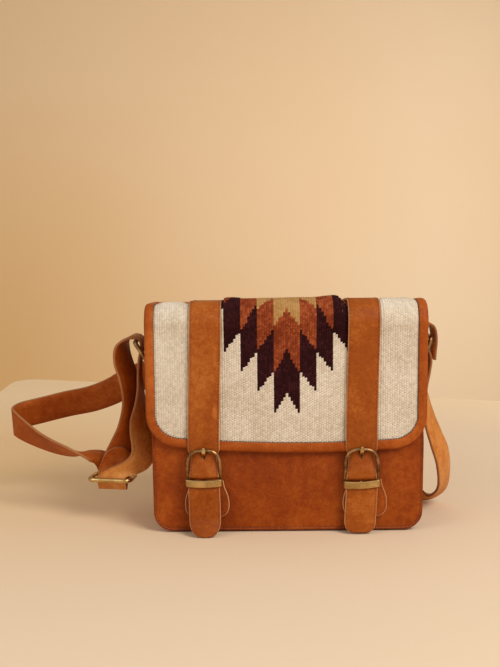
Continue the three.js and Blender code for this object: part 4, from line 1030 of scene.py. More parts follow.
def flap_point(across, run, out):
    """A place on the flap, in space."""
    out = out + puff(across, run)
    if run <= TOP_RUN:
        y = FLAP_BACK_Y - run * math.cos(TOP_SLOPE) + out * math.sin(TOP_SLOPE)
        z = FLAP_BACK_Z + run * math.sin(TOP_SLOPE) + out * math.cos(TOP_SLOPE)
        return np.array((across, y, z))
    if run >= FRONT_RUN:
        hang = (run - FRONT_RUN) / (FLAP_RUN - FRONT_RUN)
        lift = hang * (LOW_LIFT + LOW_BOW * (across / FLAP_HALF) ** 2 - LOW_TILT * across)
        return np.array((across, FLAP_FRONT_Y - out, FOLD_Z - (run - FRONT_RUN) + lift))
    angle = (run - TOP_RUN) / FOLD_RADIUS - TOP_SLOPE
    reach = FOLD_RADIUS + out
    return np.array((across, FOLD_Y - reach * math.sin(angle), FOLD_Z + reach * math.cos(angle)))


def flap_down(across, run):
    """The direction along the flap, from the hinge to its lower edge."""
    return unit(flap_point(across, run + 0.5, 2.0) - flap_point(across, run - 0.5, 2.0))


def flap_out(across, run):
    """The direction out of the flap at a place."""
    sideways = flap_point(across + 0.5, run, 2.0) - flap_point(across - 0.5, run, 2.0)
    return unit(np.cross(flap_down(across, run), sideways))


def edge_distance(across, run):
    """How far a place lies inside the flap's side and lower edges."""
    a = FLAP_HALF - abs(across)
    b = FLAP_RUN - run
    if a < FLAP_CORNER and b < FLAP_CORNER:
        return FLAP_CORNER - math.hypot(FLAP_CORNER - a, FLAP_CORNER - b)
    return min(a, b)


def flap_runs(last, step):
    """Runs from the hinge, close together round the fold."""
    return np.concatenate(
        [
            np.linspace(0.0, TOP_RUN, 14, endpoint=False),
            np.linspace(TOP_RUN, FRONT_RUN, 14, endpoint=False),
            np.linspace(FRONT_RUN, last, max(4, int((last - FRONT_RUN) / step))),
        ]
    )


print("flap is", round(FLAP_RUN, 1), "mm from hinge to lower edge")

# %% [markdown]
# The flap's inner face is one piece of soft leather with its rough side out, as long as the flap.
# It and the cloth's ground are layers of the flap: closed sheets between two heights over the
# map, cut to the flap's outline with its two round corners.

# %% The flap's inner leather
FLAP_COLUMNS = 81
CORNER_STEPS = 12


def flap_layer(inset, low, high):
    """A closed sheet on the flap between two heights, cut to the flap's outline less an inset."""
    straight = FLAP_RUN - inset - FLAP_CORNER
    radius = FLAP_CORNER - inset
    runs = list(flap_runs(straight, 6.0)[:-1])
    for k in range(CORNER_STEPS + 1):
        runs.append(straight + radius * math.sin(math.radians(90 * k / CORNER_STEPS)))
    rows = []
    for run in runs:
        below = max(0.0, run - straight)
        narrow = radius - math.sqrt(max(0.0, radius**2 - min(below, radius) ** 2))
        half = FLAP_HALF - inset - narrow
        places = np.linspace(-half, half, FLAP_COLUMNS)
        top = [flap_point(x, run, high) for x in places]
        under = [flap_point(x, run, low) for x in reversed(places)]
        rows.append(top + under)
    return skin(rows)


flap_inner = make_piece("flap_inner_leather", [flap_layer(1.6, 0.0, 1.1)], [flap_suede], sharp=50)
dress(flap_inner, "flap", "flap_lining")
print("flap's inner leather:", len(flap_inner.data.polygons), "faces")

# %% [markdown]
# The cloth is a hand-woven wool in four colours: a cream ground and a stepped lozenge in
# plum, rust and sand, cut off by the flap's hinge. Seen close, every pass of the weft shows
# as a small soft float, staggered like bricks, and a colour changes from one float to the
# next, which gives the lozenge its saw-tooth edges. Painting that on a flat sheet would lose
# the ribs, so every float is a small pillow of its own. Geometry Nodes set one on each point
# of a grid that was laid over the flap, turned to the cloth and with a tone of its own.

# %% Wool
WOOL_STOPS = (0.2, 0.5, 0.78)
WOOL_TONES = {
    "cream": [(0.545, 0.44, 0.32), (0.635, 0.53, 0.405), (0.71, 0.61, 0.485)],
    "plum": [(0.016, 0.003, 0.003), (0.026, 0.004, 0.004), (0.045, 0.008, 0.010)],
    "rust": [(0.15, 0.023, 0.006), (0.235, 0.042, 0.012), (0.34, 0.078, 0.022)],
    "sand": [(0.335, 0.165, 0.048), (0.395, 0.208, 0.066), (0.46, 0.25, 0.09)],
}
WARP_TONES = [(0.22, 0.13, 0.07), (0.30, 0.19, 0.11), (0.38, 0.26, 0.16)]
FLECKS = {"plum": (0.08, 0.02, 0.03), "rust": (0.42, 0.14, 0.05)}


def wool(name, tones, flecks=None):
    """Heathered wool: tones from float to float, and fibres inside each."""
    material, tree, shader, place = new_material(name)
    tone = add(tree, "ShaderNodeAttribute", attribute_name="float_tone").outputs["Fac"]
    fibre = noise_of(tree, place, 900.0, 4.0, Roughness=0.7)
    bands = noise_of(tree, place, 38.0, 2.0)
    heather = reckon(tree, "MULTIPLY_ADD", tone, 0.4, spread(tree, bands, 0.3, 0.7, 0.0, 0.3))
    heather = reckon(tree, "MULTIPLY_ADD", fibre, 0.3, heather)
    stops = list(zip(WOOL_STOPS, tones))
    if flecks:
        stops += [(0.86, tones[-1]), (0.9, flecks)]
    painted(tree, shader, ramp(tree, heather, stops), 0.92)
    shader.inputs["Specular IOR Level"].default_value = 0.1
    bumped(tree, shader, [(fibre, 0.4, 0.0004)])
    return material


wools = {}
for colour, tones in WOOL_TONES.items():
    wools[colour] = wool(colour + "_wool", tones, FLECKS.get(colour))
warp_wool = wool("warp_wool", WARP_TONES)
print("wools:", list(wools))

# %% [markdown]
# The lozenge is drawn in columns. In each column a colour ends on a slant that drops by one
# step from the column's inner side to its outer side, and the next column starts one step
# higher than this one did. Each colour has its own reach, and the sand takes smaller steps than
# the others. The middle column hangs a little lower, and the whole lozenge sits half a
# millimetre to the right. So a float's colour comes from its column, its place in it and its
# distance from the lozenge's middle line.

# %% The lozenge
MIDDLE_COLUMN_HALF = 11.55
COLUMN_WIDTH = 14.7
COLUMN_EDGES = [0.0] + [MIDDLE_COLUMN_HALF + COLUMN_WIDTH * k for k in range(5)]
COLOUR_REACHES = {"sand": 43.0, "rust": 76.0, "plum": 114.0}
COLUMN_STEPS = {"sand": 9.2, "rust": 18.0, "plum": 18.0}
LOWEST_NOTCH_Z = 129.1
LOZENGE_RUN = FRONT_RUN + FOLD_Z - LOWEST_NOTCH_Z - COLOUR_REACHES["plum"]
SLANT_GAIN = 1.09
CENTRE_DROP = 1.4
LOZENGE_SHIFT = 0.5


def float_colour(across, run):
    """The wool that shows at a place on the flap."""
    away = abs(run - LOZENGE_RUN)
    across = across - LOZENGE_SHIFT
    for column, (low, high) in enumerate(zip(COLUMN_EDGES, COLUMN_EDGES[1:])):
        if low <= abs(across) < high:
            part = 0.5 + SLANT_GAIN * ((abs(across) - low) / (high - low) - 0.5)
            drop = CENTRE_DROP if column == 0 else 0.0
            for colour, reach in COLOUR_REACHES.items():
                if away < reach + drop + (part - column) * COLUMN_STEPS[colour]:
                    return colour
    return "cream"


print("lozenge's middle line lies", round(LOZENGE_RUN, 1), "mm from the hinge")

# %% [markdown]
# Every float needs its place. The wefts run across the flap at one pitch, closer together on the
# fold, whose outer face is longer than the sheet, and every second column is moved by half a
# pitch, as bricks are. No float lies far under a strap or the binding, where nobody would see it.

# %% Where the floats lie
FLOAT_WIDTH = 2.1
FLOAT_PITCH = 2.35
CLOTH_INSET = 7.8
FOLD_CLOSER = 0.68
FOLD_START = TOP_RUN - 4.0
FOLD_END = FRONT_RUN + 6.0
UNDER_STRAP = FLAP_STRAP_HALF - 3.0
float_runs = [0.4 * FLOAT_PITCH]
while float_runs[-1] < FLAP_RUN:
    in_fold = FOLD_START < float_runs[-1] < FOLD_END
    float_runs.append(float_runs[-1] + FLOAT_PITCH * (FOLD_CLOSER if in_fold else 1.0))
float_places = {colour: [] for colour in wools}
columns = int(FLAP_HALF / FLOAT_WIDTH)
for i in range(-columns, columns + 1):
    x = i * FLOAT_WIDTH + LOZENGE_SHIFT
    under_strap = min(abs(x - closure) for closure in CLOSURE_X.values()) < UNDER_STRAP
    for here, after in zip(float_runs, float_runs[1:]):
        run = here + 0.5 * (i % 2) * (after - here)
        if under_strap or edge_distance(x, run) < CLOTH_INSET:
            continue
        float_places[float_colour(x, run)].append((x, run))
print("floats:", {colour: len(places) for colour, places in float_places.items()})

# %% [markdown]
# Geometry Nodes need a mesh to start from. Here it is a carrier of bare points or edges, which
# has the directions at each point stored under names, so that a tree can turn what it lays. The
# tree's inputs are set on a modifier before it first runs. What it makes is kept as a plain mesh,
# and the carrier goes.

# %% Helpers for Geometry Nodes
def new_tree(name, inputs):
    """An empty Geometry Nodes tree with a geometry in and out, and the sockets of its inputs."""
    tree = bpy.data.node_groups.new(name, "GeometryNodeTree")
    tree.interface.new_socket("Geometry", in_out="INPUT", socket_type="NodeSocketGeometry")
    for label, kind in inputs.items():
        tree.interface.new_socket(label, in_out="INPUT", socket_type="NodeSocket" + kind)
    tree.interface.new_socket("Geometry", in_out="OUTPUT", socket_type="NodeSocketGeometry")
    return tree, tree.nodes.new("NodeGroupInput").outputs


def made_real(tree, instances, material):
    """Ends a tree: its instances become real geometry with a material."""
    real = add(tree, "GeometryNodeRealizeInstances", {"Geometry": instances}).outputs["Geometry"]
    done = add(tree, "GeometryNodeSetMaterial", {"Geometry": real, "Material": material})
    tree.links.new(done.outputs["Geometry"], tree.nodes.new("NodeGroupOutput").inputs["Geometry"])


def turned_to(tree, up_name, way_name, way_axis):
    """A rotation whose Z follows one stored direction and whose other axis follows another."""
    turn = "FunctionNodeAlignRotationToVector"
    stored = "GeometryNodeInputNamedAttribute"
    up = add(tree, stored, {"Name": up_name}, data_type="FLOAT_VECTOR").outputs["Attribute"]
    way = add(tree, stored, {"Name": way_name}, data_type="FLOAT_VECTOR").outputs["Attribute"]
    first = add(tree, turn, {"Vector": up}, axis="Z").outputs["Rotation"]
    second = add(tree, turn, {"Rotation": first, "Vector": way}, axis=way_axis, pivot_axis="Z")
    return second.outputs["Rotation"]


def grown_piece(name, carrier, tree, values):
    """The plain mesh that a tree makes of a carrier mesh; the carrier goes."""
    modifier = carrier.modifiers.new("grown", "NODES")
    modifier.node_group = tree
    for item in tree.interface.items_tree:
        if item.item_type == "SOCKET" and item.in_out == "INPUT" and item.name in values:
            modifier[item.identifier] = values[item.name]
    depsgraph = bpy.context.evaluated_depsgraph_get()
    mesh = bpy.data.meshes.new_from_object(carrier.evaluated_get(depsgraph))
    carrier.modifiers.remove(modifier)
    piece = bpy.data.objects.new(name, mesh)
    mesh.name = name
    scene.collection.objects.link(piece)
    bpy.data.objects.remove(carrier)
    return piece


def carrier_mesh(name, points, edges, directions):
    """A bare mesh of points in millimetres, with named directions stored on them."""
    mesh = bpy.data.meshes.new(name)
    mesh.from_pydata([tuple(np.asarray(p) * MM) for p in points], edges, [])
    for label, vectors in directions.items():
        layer = mesh.attributes.new(label, "FLOAT_VECTOR", "POINT")
        layer.data.foreach_set("vector", np.asarray(vectors, float).ravel())
    carrier = bpy.data.objects.new(name, mesh)
    scene.collection.objects.link(carrier)
    return carrier


print("points to lay floats on:", sum(len(places) for places in float_places.values()))

# %% [markdown]
# The tree for the floats: a small grid is lifted into a pillow, set on every point, turned so
# that its height follows the cloth and its length follows the run, varied a little in size,
# given a tone, and made real geometry with the colour's material.

# %% A tree that lays wool floats
def hump(tree, value, size):
    """One minus the square of a value over half a size: 1 in the middle, 0 at the ends."""
    part = reckon(tree, "DIVIDE", value, size)
    square = reckon(tree, "MULTIPLY", part, part)
    return reckon(tree, "MULTIPLY_ADD", square, -4.0, 1.0)


def chance(tree, least, most, seed):
    """A random number for each point."""
    inputs = {"Min": least, "Max": most, "Seed": seed}
    return add(tree, "FunctionNodeRandomValue", inputs, data_type="FLOAT").outputs["Value"]


FLOAT_INPUTS = {
    "Float Width": "Float",
    "Float Length": "Float",
    "Float Height": "Float",
    "Unevenness": "Float",
    "Seed": "Int",
    "Wool": "Material",
}
TONE_SEED_STEP = 17.0


def float_tree():
    """Lays one pillow of wool on every point of the incoming mesh."""
    tree, given = new_tree("wool_floats", FLOAT_INPUTS)
    sizes = {"Size X": given["Float Width"], "Size Y": given["Float Length"]}
    grid = add(tree, "GeometryNodeMeshGrid", {**sizes, "Vertices X": 4, "Vertices Y": 5})
    place = add(tree, "GeometryNodeInputPosition").outputs["Position"]
    axes = add(tree, "ShaderNodeSeparateXYZ", {"Vector": place}).outputs
    over_width = hump(tree, axes["X"], given["Float Width"])
    over_length = hump(tree, axes["Y"], given["Float Length"])
    rise = reckon(tree, "MULTIPLY", over_width, over_length)
    height = reckon(tree, "MULTIPLY", rise, given["Float Height"])
    lift = add(tree, "ShaderNodeCombineXYZ", {"Z": height}).outputs["Vector"]
    lifting = {"Geometry": grid.outputs["Mesh"], "Offset": lift}
    lifted = add(tree, "GeometryNodeSetPosition", lifting)
    pillow = add(tree, "GeometryNodeSetShadeSmooth", {"Geometry": lifted.outputs["Geometry"]})
    least = reckon(tree, "SUBTRACT", 1.0, given["Unevenness"])
    most = reckon(tree, "ADD", 1.0, given["Unevenness"])
    laying = {
        "Points": given["Geometry"],
        "Instance": pillow.outputs["Geometry"],
        "Rotation": turned_to(tree, "cloth_out", "cloth_down", "Y"),
        "Scale": chance(tree, least, most, given["Seed"]),
    }
    laid = add(tree, "GeometryNodeInstanceOnPoints", laying).outputs["Instances"]
    tone = chance(tree, 0.0, 1.0, reckon(tree, "ADD", given["Seed"], TONE_SEED_STEP))
    storing = {"Geometry": laid, "Name": "float_tone", "Value": tone}
    toned = add(tree, "GeometryNodeStoreNamedAttribute", storing, data_type="FLOAT", domain="INSTANCE")
    made_real(tree, toned.outputs["Geometry"], given["Wool"])
    return tree


float_laying = float_tree()
print("float tree has", len(float_laying.nodes), "nodes")

# %% [markdown]
# The weaving itself is one run of the tree for each colour, with a seed of its own. A float is
# a little longer and wider than its pitch, so that neighbours press on each other and no gap
# shows.

# %% Weave the four colours
FLOAT_BASE = 2.2
FLOAT_HEIGHT = 0.95
FLOAT_WIDTH_GAIN = 1.2
FLOAT_LENGTH_GAIN = 1.35
FLOAT_UNEVENNESS = 0.1
WOVEN_NODES = {"cream": "flap_cloth", "plum": "motif_plum", "rust": "motif_rust", "sand": "motif_sand"}
for seed, (colour, places) in enumerate(float_places.items(), start=1):
    points = [flap_point(x, run, FLOAT_BASE) for x, run in places]
    directions = {
        "cloth_out": [flap_out(x, run) for x, run in places],
        "cloth_down": [flap_down(x, run) for x, run in places],
    }
    values = {
        "Float Width": FLOAT_WIDTH * FLOAT_WIDTH_GAIN * MM,
        "Float Length": FLOAT_PITCH * FLOAT_LENGTH_GAIN * MM,
        "Float Height": FLOAT_HEIGHT * MM,
        "Unevenness": FLOAT_UNEVENNESS,
        "Seed": seed,
        "Wool": wools[colour],
    }
    carrier = carrier_mesh("floats", points, [], directions)
    weave = grown_piece("weave_" + colour, carrier, float_laying, values)
    dress(weave, "flap", WOVEN_NODES[colour])
    print("weave", colour, "has", len(weave.data.polygons), "faces")

# %% [markdown]
# Under the floats lies the ground of the cloth, the warp that they are woven on. It shows
# only as shade between them, and it is the sheet that was cut to the flap's shape.

# %% Ground of the cloth
cloth_ground = make_piece("cloth_ground", [flap_layer(2.0, 1.4, 2.0)], [warp_wool], sharp=50)
dress(cloth_ground, "flap", "flap_cloth")
print("cloth ground:", len(cloth_ground.data.polygons), "faces")

# %% [markdown]
# A strip of leather is folded round the flap's sides and lower edge. It was glued, sewn near
# its inner edge and rubbed round, so in the photograph it reads as a soft roll with a light
# along its middle and a dark groove beside the cloth. It is a skin of hollow sections along
# the flap's edge, with a swollen outer leg.

# %% Binding
BINDING_SECTION = [
    (8.0, 3.4),
    (7.95, 4.1),
    (7.5, 4.45),
    (6.5, 4.7),
    (5.0, 5.0),
    (3.6, 5.05),
    (2.0, 4.6),
    (0.8, 3.7),
    (0.1, 2.5),
    (0.0, 1.6),
    (0.1, 0.7),
    (0.7, -0.5),
    (2.0, -1.3),
    (5.0, -1.5),
    (9.0, -1.5),
    (9.1, -0.3),
    (5.0, -0.25),
    (1.7, -0.1),
    (1.3, 0.7),
    (1.3, 2.2),
    (1.8, 3.0),
    (5.0, 3.3),
]
BINDING_SLOTS = [EDGE] + [GRAIN] * (len(BINDING_SECTION) - 1)
BINDING_SIDE_SHARE = 1.03
BINDING_LOW_GAIN = 0.14
BINDING_SWELL = 0.05
BINDING_OUTER_LEG = 4


def edge_route(step=3.0):
    """Places (across, run) round the flap's edge with the inward direction of each."""
    route = []
    straight = FLAP_RUN - FLAP_CORNER
    side_runs = flap_runs(straight, step)[:-1]
    for run in side_runs:
        route.append((-FLAP_HALF, run, 1.0, 0.0))
    for k in range(15):
        angle = math.radians(90 * k / 14)
        a = FLAP_HALF - FLAP_CORNER + FLAP_CORNER * math.cos(angle)
        route.append((-a, straight + FLAP_CORNER * math.sin(angle), math.cos(angle), -math.sin(angle)))
    half = FLAP_HALF - FLAP_CORNER
    for x in np.linspace(-half, 0, 32, endpoint=False)[1:]:
        route.append((x, FLAP_RUN, 0.0, -1.0))
    mirrored = [(-a, run, -na, nr) for a, run, na, nr in reversed(route)]
    return route + [(0.0, FLAP_RUN, 0.0, -1.0)] + mirrored


def binding_width(nr):
    """The binding's width as a share of its section; nr is 0 at the sides, -1 below."""
    return BINDING_SIDE_SHARE + BINDING_LOW_GAIN * abs(nr)


binding_route = edge_route()
rows = []
for a, run, na, nr in binding_route:
    swollen = 1 + BINDING_SWELL * ripple((a, run, 0), 22.0, 2.0)
    row = []
    for inset, out in BINDING_SECTION:
        inset = inset * binding_width(nr)
        height = out * (swollen if out > BINDING_OUTER_LEG else 1)
        row.append(flap_point(a + na * inset, run + nr * inset, height))
    rows.append(row)
part = skin(rows, column_slots=BINDING_SLOTS)
binding = make_piece("flap_edge_binding", [part], [binding_leather, raw_edge])
dress(binding, "flap", "flap_binding")
print("binding:", len(binding.data.polygons), "faces")

# %% [markdown]
# Two straps are sewn down the flap, from the hinge over the fold, out over the binding,
# through the buckle and down to a rounded tail. Each is a strap section along a line in one
# upright plane. It is drawn in where it passes the buckle, domed above it, and rounded at the
# tail. Its hole for the prong is punched later.

# %% Flap straps
FLAP_STRAP_THICK = 2.2
STRAP_SEAT = 5.1
BUCKLE_BAR_Y = -42.4
BUCKLE_BAR_Z = 50.3
KEEPER_MIDDLES = {"left": 49.5, "right": 47.4}
KEPT_Z = 41.0
TAIL_ENDS = {"left": 0.7, "right": 1.9}
TAIL_ROUNDS = {"left": 15.0, "right": 11.0}
TAIL_FLARES = {"left": 9.0, "right": 1.8}
TAIL_POWERS = {"left": 0.62, "right": 0.4}
TAIL_STEPS = 14
FLAP_STRAP_INSET = 1.9
FLAP_STRAP_SECTION, FLAP_STRAP_SLOTS = strap_section(
    FLAP_STRAP_HALF, FLAP_STRAP_THICK / 2, 0.18, FLAP_STRAP_INSET
)
WIDTH_LEVELS = [46.0, 52.3, 57.3, 65.3, 70.9, 73.8, 77.3]
WIDTH_SHARES = [1.0, 0.96, 0.93, 0.86, 0.80, 0.85, 1.0]
DOME_LEVELS = [30.0, 48.0, 60.3, 72.3, 82.3, 92.0]
DOME_HEIGHTS = [0.4, 0.8, 1.8, 1.8, 0.3, 0.0]


def flap_strap_line(side):
    """The strap's line (y, z) from the hinge to the top of its rounded tail."""
    upper_runs = flap_runs(FLAP_RUN - 36.0, 5.0)
    upper = [flap_point(CLOSURE_X[side], run, STRAP_SEAT)[1:] for run in upper_runs]
    tail_top = TAIL_ENDS[side] + TAIL_ROUNDS[side]
    crease = KEEPER_MIDDLES[side] + 1.9
    lower = [(-43.4, 90.0), (-43.6, 84.3), (-43.5, 75.3), (-44.3, 66.3), (-45.8, 60.3)]
    lower += [(-46.4, 56.6), (-46.0, crease + 2.4), (-43.0, crease), (-43.4, crease - 2.4)]
    lower += [(-46.3, crease - 6.0), (-46.8, KEPT_Z), (-45.2, 0.5 * (KEPT_Z + tail_top))]
    lower += [(-43.1 - 0.3 * TAIL_FLARES[side], tail_top)]
    start = np.array(upper[-1])
    curve = through([upper[-2], start] + lower, 6)[6:]
    return np.vstack([np.array(upper[:-1]), curve])


def rounded_tail(side, top):
    """Places (y, z) down the strap's tail from its top, and the share of the width at each."""
    places = []
    shares = []
    for k in range(1, TAIL_STEPS + 1):
        angle = math.radians(88 * k / TAIL_STEPS)
        drop = math.sin(angle)
        y = top[0] - 0.7 * TAIL_FLARES[side] * drop
        places.append((y, top[1] - TAIL_ROUNDS[side] * drop))
        shares.append(math.cos(angle) ** TAIL_POWERS[side])
    return places, shares


def in_upright_plane(line):
    """The directions across and out of a strap whose line (y, z) lies in an upright plane."""
    along = unit(np.gradient(line, axis=0))
    across = np.tile((1.0, 0.0, 0.0), (len(line), 1))
    return across, np.column_stack([np.zeros(len(line)), along[:, 1], -along[:, 0]])


flap_straps = {}
strap_lines = {}
for side in SIDES:
    line = flap_strap_line(side)
    tail, tail_widths = rounded_tail(side, line[-1])
    widths = list(np.interp(line[:, 1], WIDTH_LEVELS, WIDTH_SHARES)) + tail_widths
    line = np.vstack([line, tail])
    domes = np.interp(line[:, 1], DOME_LEVELS, DOME_HEIGHTS)
    places = CLOSURE_X[side] + STRAP_TOP_SHIFTS[side] * ease(80.0, 205.0, line[:, 1])
    places = places + TAIL_LEANS[side] * (1 - ease(5.0, 45.0, line[:, 1]))
    centres = np.column_stack([places, line])
    across, out = in_upright_plane(line)
    strap_lines[side] = (centres, out, widths, domes)
    rows = strap_rows(centres, across, out, FLAP_STRAP_SECTION, widths, domes)
    part = skin(rows, column_slots=FLAP_STRAP_SLOTS, cap_slot=EDGE)
    finishes = [flap_strap_leather, raw_edge, flesh_side]
    strap = make_piece("flap_strap_" + side + "_leather", [part], finishes, sharp=55)
    dress(strap, "flap", "flap_strap_" + side)
    flap_straps[side] = strap
print("flap straps:", [len(s.data.polygons) for s in flap_straps.values()])

# %% [markdown]
# Behind each tail hangs a pear-shaped tab. It is looped round the buckle's rear bar and a snap
# under it closes the bag, so the buckle itself never has to be opened. The tab is a plate with
# a raw edge, made of rings as the panels are.

# %% Buckle tabs
TAB_FRONT_Y = -41.4
TAB_EDGE = [
    (0.6, -2.0),
    (0.1, -1.7),
    (0.0, -1.0),
    (0.1, -0.3),
    (0.6, 0.0),
    (1.6, 0.02),
    (2.2, -0.15),
    (2.8, 0.0),
    (4.5, 0.0),
]
TAB_RAW_RINGS = 4
TAB_FILL = 5


def bezier(p0, p1, p2, p3, count):
    """Points of a cubic curve, without its last."""
    points = []
    for k in range(count):
        t = k / count
        s = 1 - t
        point = []
        for a, b, c, d in zip(p0, p1, p2, p3):
            point.append(s**3 * a + 3 * s * s * t * b + 3 * s * t * t * c + t**3 * d)
        points.append(tuple(point))
    return points


def pear_outline(x):
    """The tab's outline (x, z), down its left side and up its right side."""
    neck = 15.0
    half = 20.0
    low = 14.5
    wide = low + 13.0
    top = BUCKLE_BAR_Z - 1.0
    bend = 0.5 * (top + wide)
    left = bezier((-neck, top), (-neck, bend + 3), (-half, bend), (-half, wide), 12)
    left += bezier((-half, wide), (-half, low + 3), (-neck, low), (0, low), 12)
    right = [(-a, b) for a, b in reversed(left[1:])]
    ring = left + [(0, low)] + right + [(neck, top)]
    return [(x + a, b) for a, b in ring]


TAB_SHIFTS = {"left": 2.4, "right": 3.4}
TAB_MIDDLE_Z = 30.0
TAB_MIDDLE_SHARE = 0.3
TAB_LOOP_HALF = 10.5
TAB_LOOP_RADII = (3.0, 1.75)
PRONG_GAP = 2.4


def tab_loop(low, high):
    """A loop of leather round the rear bar, from one place across to another."""
    outer, inner = TAB_LOOP_RADII
    section = [(low, outer), (high, outer), (high, inner), (low, inner)]
    rows = []
    for turn in np.linspace(0, 2 * math.pi, 20, endpoint=False):
        y = math.cos(turn)
        z = math.sin(turn)
        rows.append([(a, BUCKLE_BAR_Y + r * y, BUCKLE_BAR_Z + r * z) for a, r in section])
    return skin(rows, closed_route=True, column_slots=[GRAIN, EDGE, FLESH, EDGE])


for side, closure in CLOSURE_X.items():
    x = closure + TAB_SHIFTS[side]

    def pear_middle(a, b, centre=x):
        inner_z = TAB_MIDDLE_Z + TAB_MIDDLE_SHARE * (b - TAB_MIDDLE_Z)
        return centre + TAB_MIDDLE_SHARE * (a - centre), inner_z

    def pear_swell(a, b, ring):
        return 0.35 * ripple((a, 0, b), 14.0, 4.0) if ring >= len(TAB_EDGE) else 0.0

    def on_tab(a, b, h):
        return (a, TAB_FRONT_Y - h, b)

    outline = pear_outline(x)
    points, faces, slots = plate(outline, TAB_EDGE, pear_middle, TAB_FILL, pear_swell, on_tab)
    edge_faces = TAB_RAW_RINGS * len(outline)
    slots = [EDGE if i < edge_faces else slot for i, slot in enumerate(slots)]
    faces.append(tuple(range(len(points) - len(outline), len(points))))
    slots.append(GRAIN)
    left_loop = tab_loop(x - TAB_LOOP_HALF, closure - PRONG_GAP)
    right_loop = tab_loop(closure + PRONG_GAP, x + TAB_LOOP_HALF)
    parts = [(points, faces, slots), left_loop, right_loop]
    tab = make_piece("tab_" + side, parts, [body_leather, raw_edge, flesh_side], sharp=55)
    dress(tab, "flap", "buckle_tab_" + side)
    print(side, "tab:", len(tab.data.polygons), "faces")

# %% [markdown]
# The buckle is one casting: a wide arch of wire that leans forward from the rear bar, and a
# flat keeper that holds the tail down. The prong is a flat finger rolled round the rear bar; it
# comes up through the strap and lies on the arch.

# %% Buckles
BUCKLE_WIRE = 1.45
BUCKLE_HALF = 14.7
BUCKLE_BEND = 13.0
BUCKLE_RISE = 15.0
BUCKLE_ARC_Y = -46.3
ARC_FULLNESS = 0.65
ARC_LIFT = 0.85
KEEPER_HEIGHT = 6.6
KEEPER_TURNS = {"left": 0.0, "right": 0.05}


def buckle_outline():
    """The frame's outline (across, up), from the rear bar up one side and down the other."""
    outline = [(BUCKLE_HALF * k / 6, 0.0) for k in range(-6, 6)]
    outline += [(BUCKLE_HALF, BUCKLE_BEND * k / 8) for k in range(8)]
    for k in range(41):
        angle = math.pi * k / 40
        cosine = math.cos(angle)
        reach = math.copysign(abs(cosine) ** ARC_FULLNESS, cosine)
        rise = max(0.0, math.sin(angle)) ** ARC_LIFT
        outline.append((BUCKLE_HALF * reach, BUCKLE_BEND + BUCKLE_RISE * rise))
    outline += [(-BUCKLE_HALF, BUCKLE_BEND * k / 8) for k in range(7, 0, -1)]
    return outline


def buckle_place(x, across, up):
    """The outline's place in space, with its forward bend."""
    share = min(1.0, up / BUCKLE_BEND)
    y = BUCKLE_BAR_Y + (BUCKLE_ARC_Y - BUCKLE_BAR_Y) * math.sin(share * math.pi / 2)
    return (x + across, y, BUCKLE_BAR_Z + up)


def rounded_bar_section(half_high, half_thick, steps=4):
    """A flat bar's section (across, out) with rounded edges."""
    section = []
    radius = half_thick * 0.9
    for a, b, start in (
        (half_high - radius, half_thick - radius, 0),
        (-half_high + radius, half_thick - radius, 90),
        (-half_high + radius, -half_thick + radius, 180),
        (half_high - radius, -half_thick + radius, 270),
    ):
        for k in range(steps + 1):
            angle = math.radians(start + 90 * k / steps)
            section.append((a + radius * math.cos(angle), b + radius * math.sin(angle)))
    return section


def keeper_rows(side):
    """The keeper: from the rear bar forward, across the strap and back, lower in its middle."""
    half = 15.6
    front = -49.1
    sag = 1.0
    knots = [(-half, BUCKLE_BAR_Y), (-half, -45.0), (-half, -47.2), (-half + 1.0, -48.8)]
    knots += [(-half + 3.2, front), (-8.0, front - 0.25), (0.0, front - 0.35)]
    knots += [(-a, b) for a, b in reversed(knots[:-1])]
    line = through(knots, 5)
    along = unit(np.gradient(line, axis=0))
    centres = []
    for a, y in line:
        z = KEEPER_MIDDLES[side] + KEEPER_TURNS[side] * a - sag * (1 - (a / half) ** 2)
        centres.append((CLOSURE_X[side] + a, y, z))
    outwards = np.column_stack([along[:, 1], -along[:, 0], np.zeros(len(line))])
    upwards = np.tile((0.0, 0.0, 1.0), (len(line), 1))
    section = rounded_bar_section(0.5 * KEEPER_HEIGHT, 0.9)
    return strap_rows(np.array(centres), upwards, outwards, section)


def prong_rows(x):
    """The prong: rolled round the rear bar, up behind the strap, through it and onto the arch."""
    wrap = 2.35
    knots = []
    for degrees in (-40, -75, -110, -145, -180, -215):
        angle = math.radians(degrees)
        knots.append((BUCKLE_BAR_Y - wrap * math.cos(angle), BUCKLE_BAR_Z + wrap * math.sin(angle)))
    knots += [(-42.1, 56.3), (-41.45, 62.3), (-41.45, 68.8), (-42.5, 72.1), (-45.1, 74.1)]
    knots += [(-48.2, 76.2), (-48.7, 78.5), (-48.5, 81.0)]
    line = through(knots, 4)
    centres = np.column_stack([np.full(len(line), x), line])
    across, out = in_upright_plane(line)
    widths = [1.0 - 0.35 * float(ease(0.88, 1.0, k / (len(line) - 1))) for k in range(len(line))]
    return strap_rows(centres, across, out, rounded_bar_section(1.8, 0.65), widths)


for side, x in CLOSURE_X.items():
    line = [buckle_place(x, a, b) for a, b in buckle_outline()]
    wire = skin(wire_rows(line, (0, -1, 0), BUCKLE_WIRE), closed_route=True)
    rows = keeper_rows(side)
    keeper = skin(rows, column_slots=[1] * len(rows[0]), cap_slot=1)
    frame_piece = make_piece("buckle_" + side, [wire, keeper], [antique_brass, rubbed_brass])
    dress(frame_piece, "flap", "buckle_frame_" + side)
    prong = make_piece("prong_" + side, [skin(prong_rows(x))], [rubbed_brass])
    dress(prong, "flap", "buckle_prong_" + side)
    print(side, "buckle and prong:", [len(p.data.polygons) for p in (frame_piece, prong)], "faces")

# %% [markdown]
# The prong needs its hole, worn to a point at its lower end. It is cut through each flap strap
# with a Boolean, as a punch would do it, and the modifier is applied at once.

